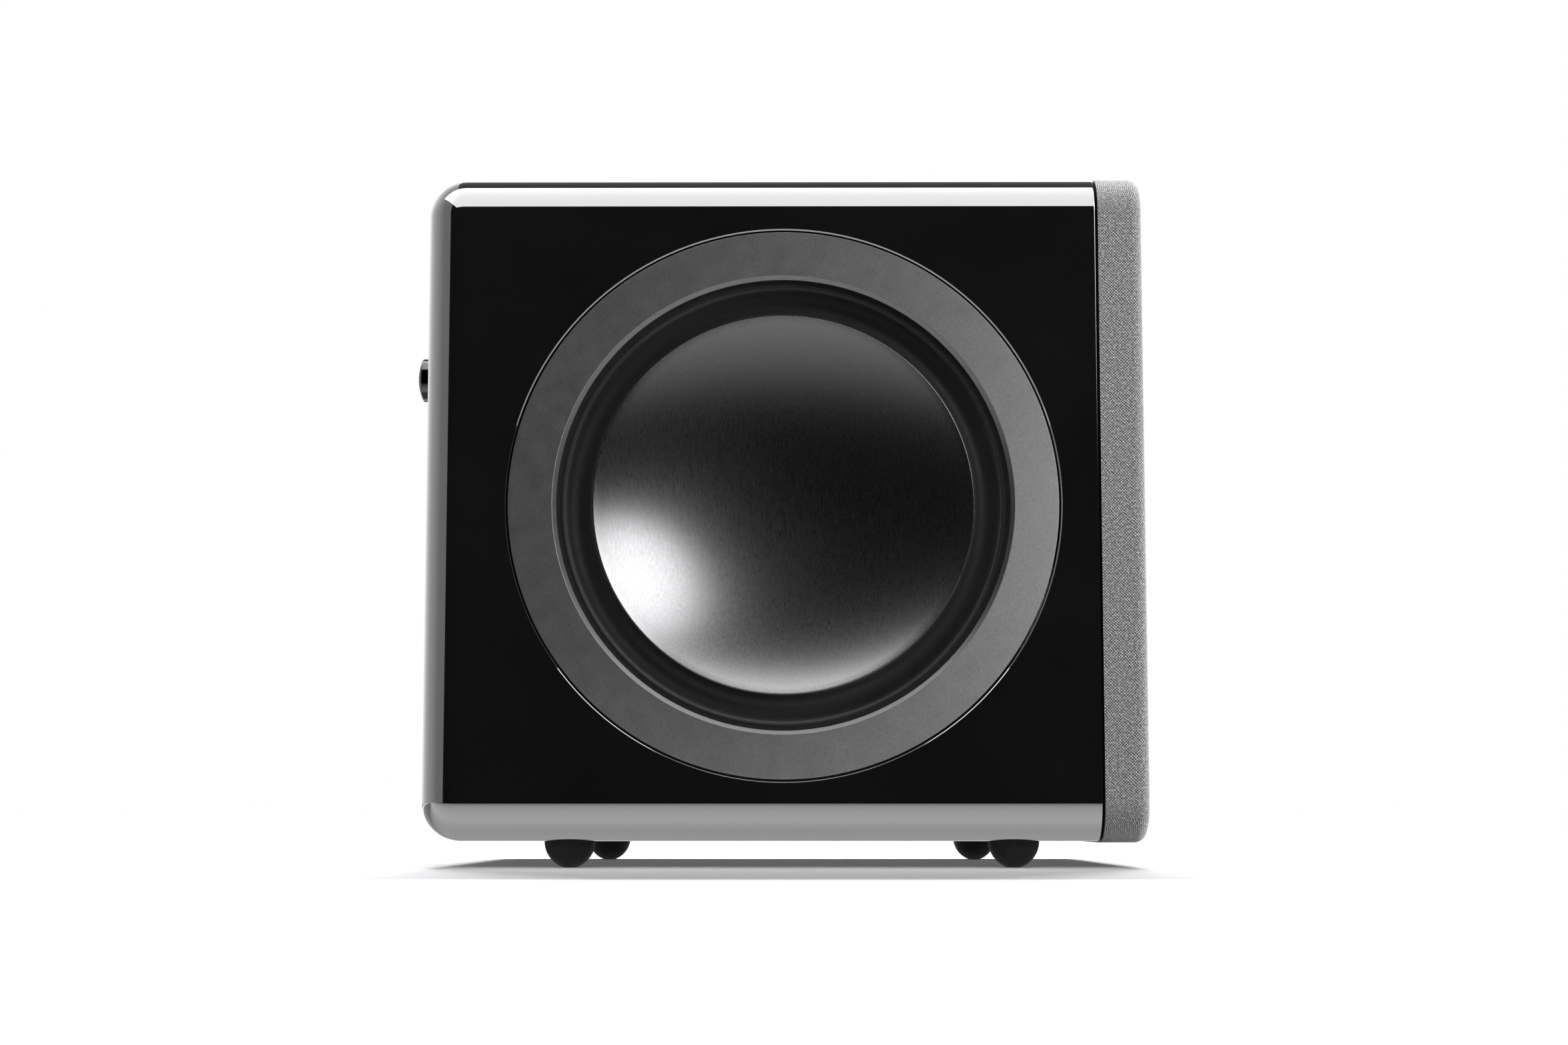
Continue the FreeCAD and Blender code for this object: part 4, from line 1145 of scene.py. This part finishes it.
def reflected_room(tree):
    """What reflections see: a dark room with soft round panels of light."""
    seen = tree.nodes.new("ShaderNodeTexCoord").outputs["Generated"]
    total = 0.018
    panels = [
        (direction(46, 27), 11.0, 19.0, 11.0),
        (direction(-118, 5), 20.0, 50.0, 0.35),
        (direction(180, 50), 30.0, 80.0, 0.12),
    ]
    for towards, core, edge, radiance in panels:
        dot = tree.nodes.new("ShaderNodeVectorMath")
        dot.operation = "DOT_PRODUCT"
        tree.links.new(seen, dot.inputs[0])
        dot.inputs[1].default_value = towards
        ramp = tree.nodes.new("ShaderNodeMapRange")
        ramp.interpolation_type = "SMOOTHSTEP"
        tree.links.new(dot.outputs["Value"], ramp.inputs[0])
        ramp.inputs[1].default_value = cos(radians(edge))
        ramp.inputs[2].default_value = cos(radians(core))
        ramp.inputs[4].default_value = radiance
        total = maths(tree, "ADD", ramp.outputs[0], total)
    return total


def room():
    """White to the eye, dim for soft light, and dark with panels in reflections."""
    world = bpy.data.worlds.new("studio")
    scene.world = world
    world.use_nodes = True
    tree = world.node_tree
    tree.nodes.clear()
    total = reflected_room(tree)
    path = tree.nodes.new("ShaderNodeLightPath")
    reflected = maths(tree, "MULTIPLY", total, path.outputs["Is Glossy Ray"])
    plain = maths(tree, "SUBTRACT", 1.0, path.outputs["Is Glossy Ray"])
    seen_plain = maths(tree, "MULTIPLY", plain, path.outputs["Is Camera Ray"])
    soft = maths(tree, "SUBTRACT", plain, seen_plain)
    soft = maths(tree, "MULTIPLY", soft, 0.16)
    plain = maths(tree, "ADD", seen_plain, soft)
    background = tree.nodes.new("ShaderNodeBackground")
    strength = maths(tree, "ADD", reflected, plain)
    tree.links.new(strength, background.inputs["Strength"])
    output = tree.nodes.new("ShaderNodeOutputWorld")
    tree.links.new(background.outputs[0], output.inputs[0])
    background.inputs["Color"].default_value = (1, 1, 1, 1)


def softboxes():
    """Rectangular lights; most are seen only in one finish's reflections."""
    edge = panel_light("edge_softbox", (0, -0.93, 1.25), (0, -0.93, 0), (2.4, 2.05), 5.4)
    left = panel_light("left_card", (-0.6, 0.97, 0.5), (0, 0.97, 0.5), (3.06, 2.4), 0.8)
    overhead = panel_light("overhead_softbox", (0, -0.12, 1.25), (0, -0.12, 0), (2.2, 1.4), 6.2)
    for light in (edge, left):
        only_in_reflections(light)
        light_links(light, ["cabinet_shell"], "INCLUDE")
    light_links(overhead, ["cabinet_shell", "studio_floor"], "EXCLUDE")
    card = panel_light("ring_card", (0.5, -0.9, 0.15), (0.0, -0.1, 0.13), (0.35, 0.5), 17.0)
    only_in_reflections(card)
    light_links(card, ["right_trim_ring", "left_trim_ring"], "INCLUDE")
    fill = panel_light("right_fill", (1.2, -0.45, 0.4), (0.05, -0.1, 0.12), (0.6, 0.6), 32.0)
    only_soft_light(fill)
    light_links(fill, ["studio_floor"], "EXCLUDE")


def suns():
    """Two suns for the pieces; for the floor, a fan of suns and a low one shape the shadow."""
    from_front = (0, -2, 0.75)
    sun("back_sun", (0, 1, 2.0), 2.6, 20, "EXCLUDE")
    sun("front_sun", from_front, 3.0, 20, "EXCLUDE")
    for k in range(5):
        sun(f"shadow_sun_{k}", (0.2 * (k - 2), 1, 1.45), 1.2, 9, "INCLUDE")
    sun("floor_sun", from_front, 1.6, 20, "INCLUDE")


def sun(name, place, strength, angle, floor_state):
    """A soft sun for the pieces only (EXCLUDE) or for the floor only (INCLUDE)."""
    light = lamp(name, "SUN", place, (0, 0, 0), strength, angle=radians(angle))
    only_soft_light(light)
    light_links(light, ["studio_floor"], floor_state)


def camera():
    """Low in front of the right side, tilted up a little; the shift finishes the framing."""
    data = bpy.data.cameras.new("camera")
    data.sensor_width = 36.0
    data.lens = 53.549
    data.shift_y = 0.045
    data.clip_start, data.clip_end = 0.01, 50.0
    obj = bpy.data.objects.new("camera", data)
    obj.location = (0.00866, -0.917, 0.016)
    obj.rotation_euler = (radians(90 + 5.6), 0, radians(0.194))
    scene.collection.objects.link(obj)
    scene.camera = obj


floor()
room()
softboxes()
suns()
camera()
scene.view_settings.view_transform = "Standard"

bpy.context.view_layer.update()
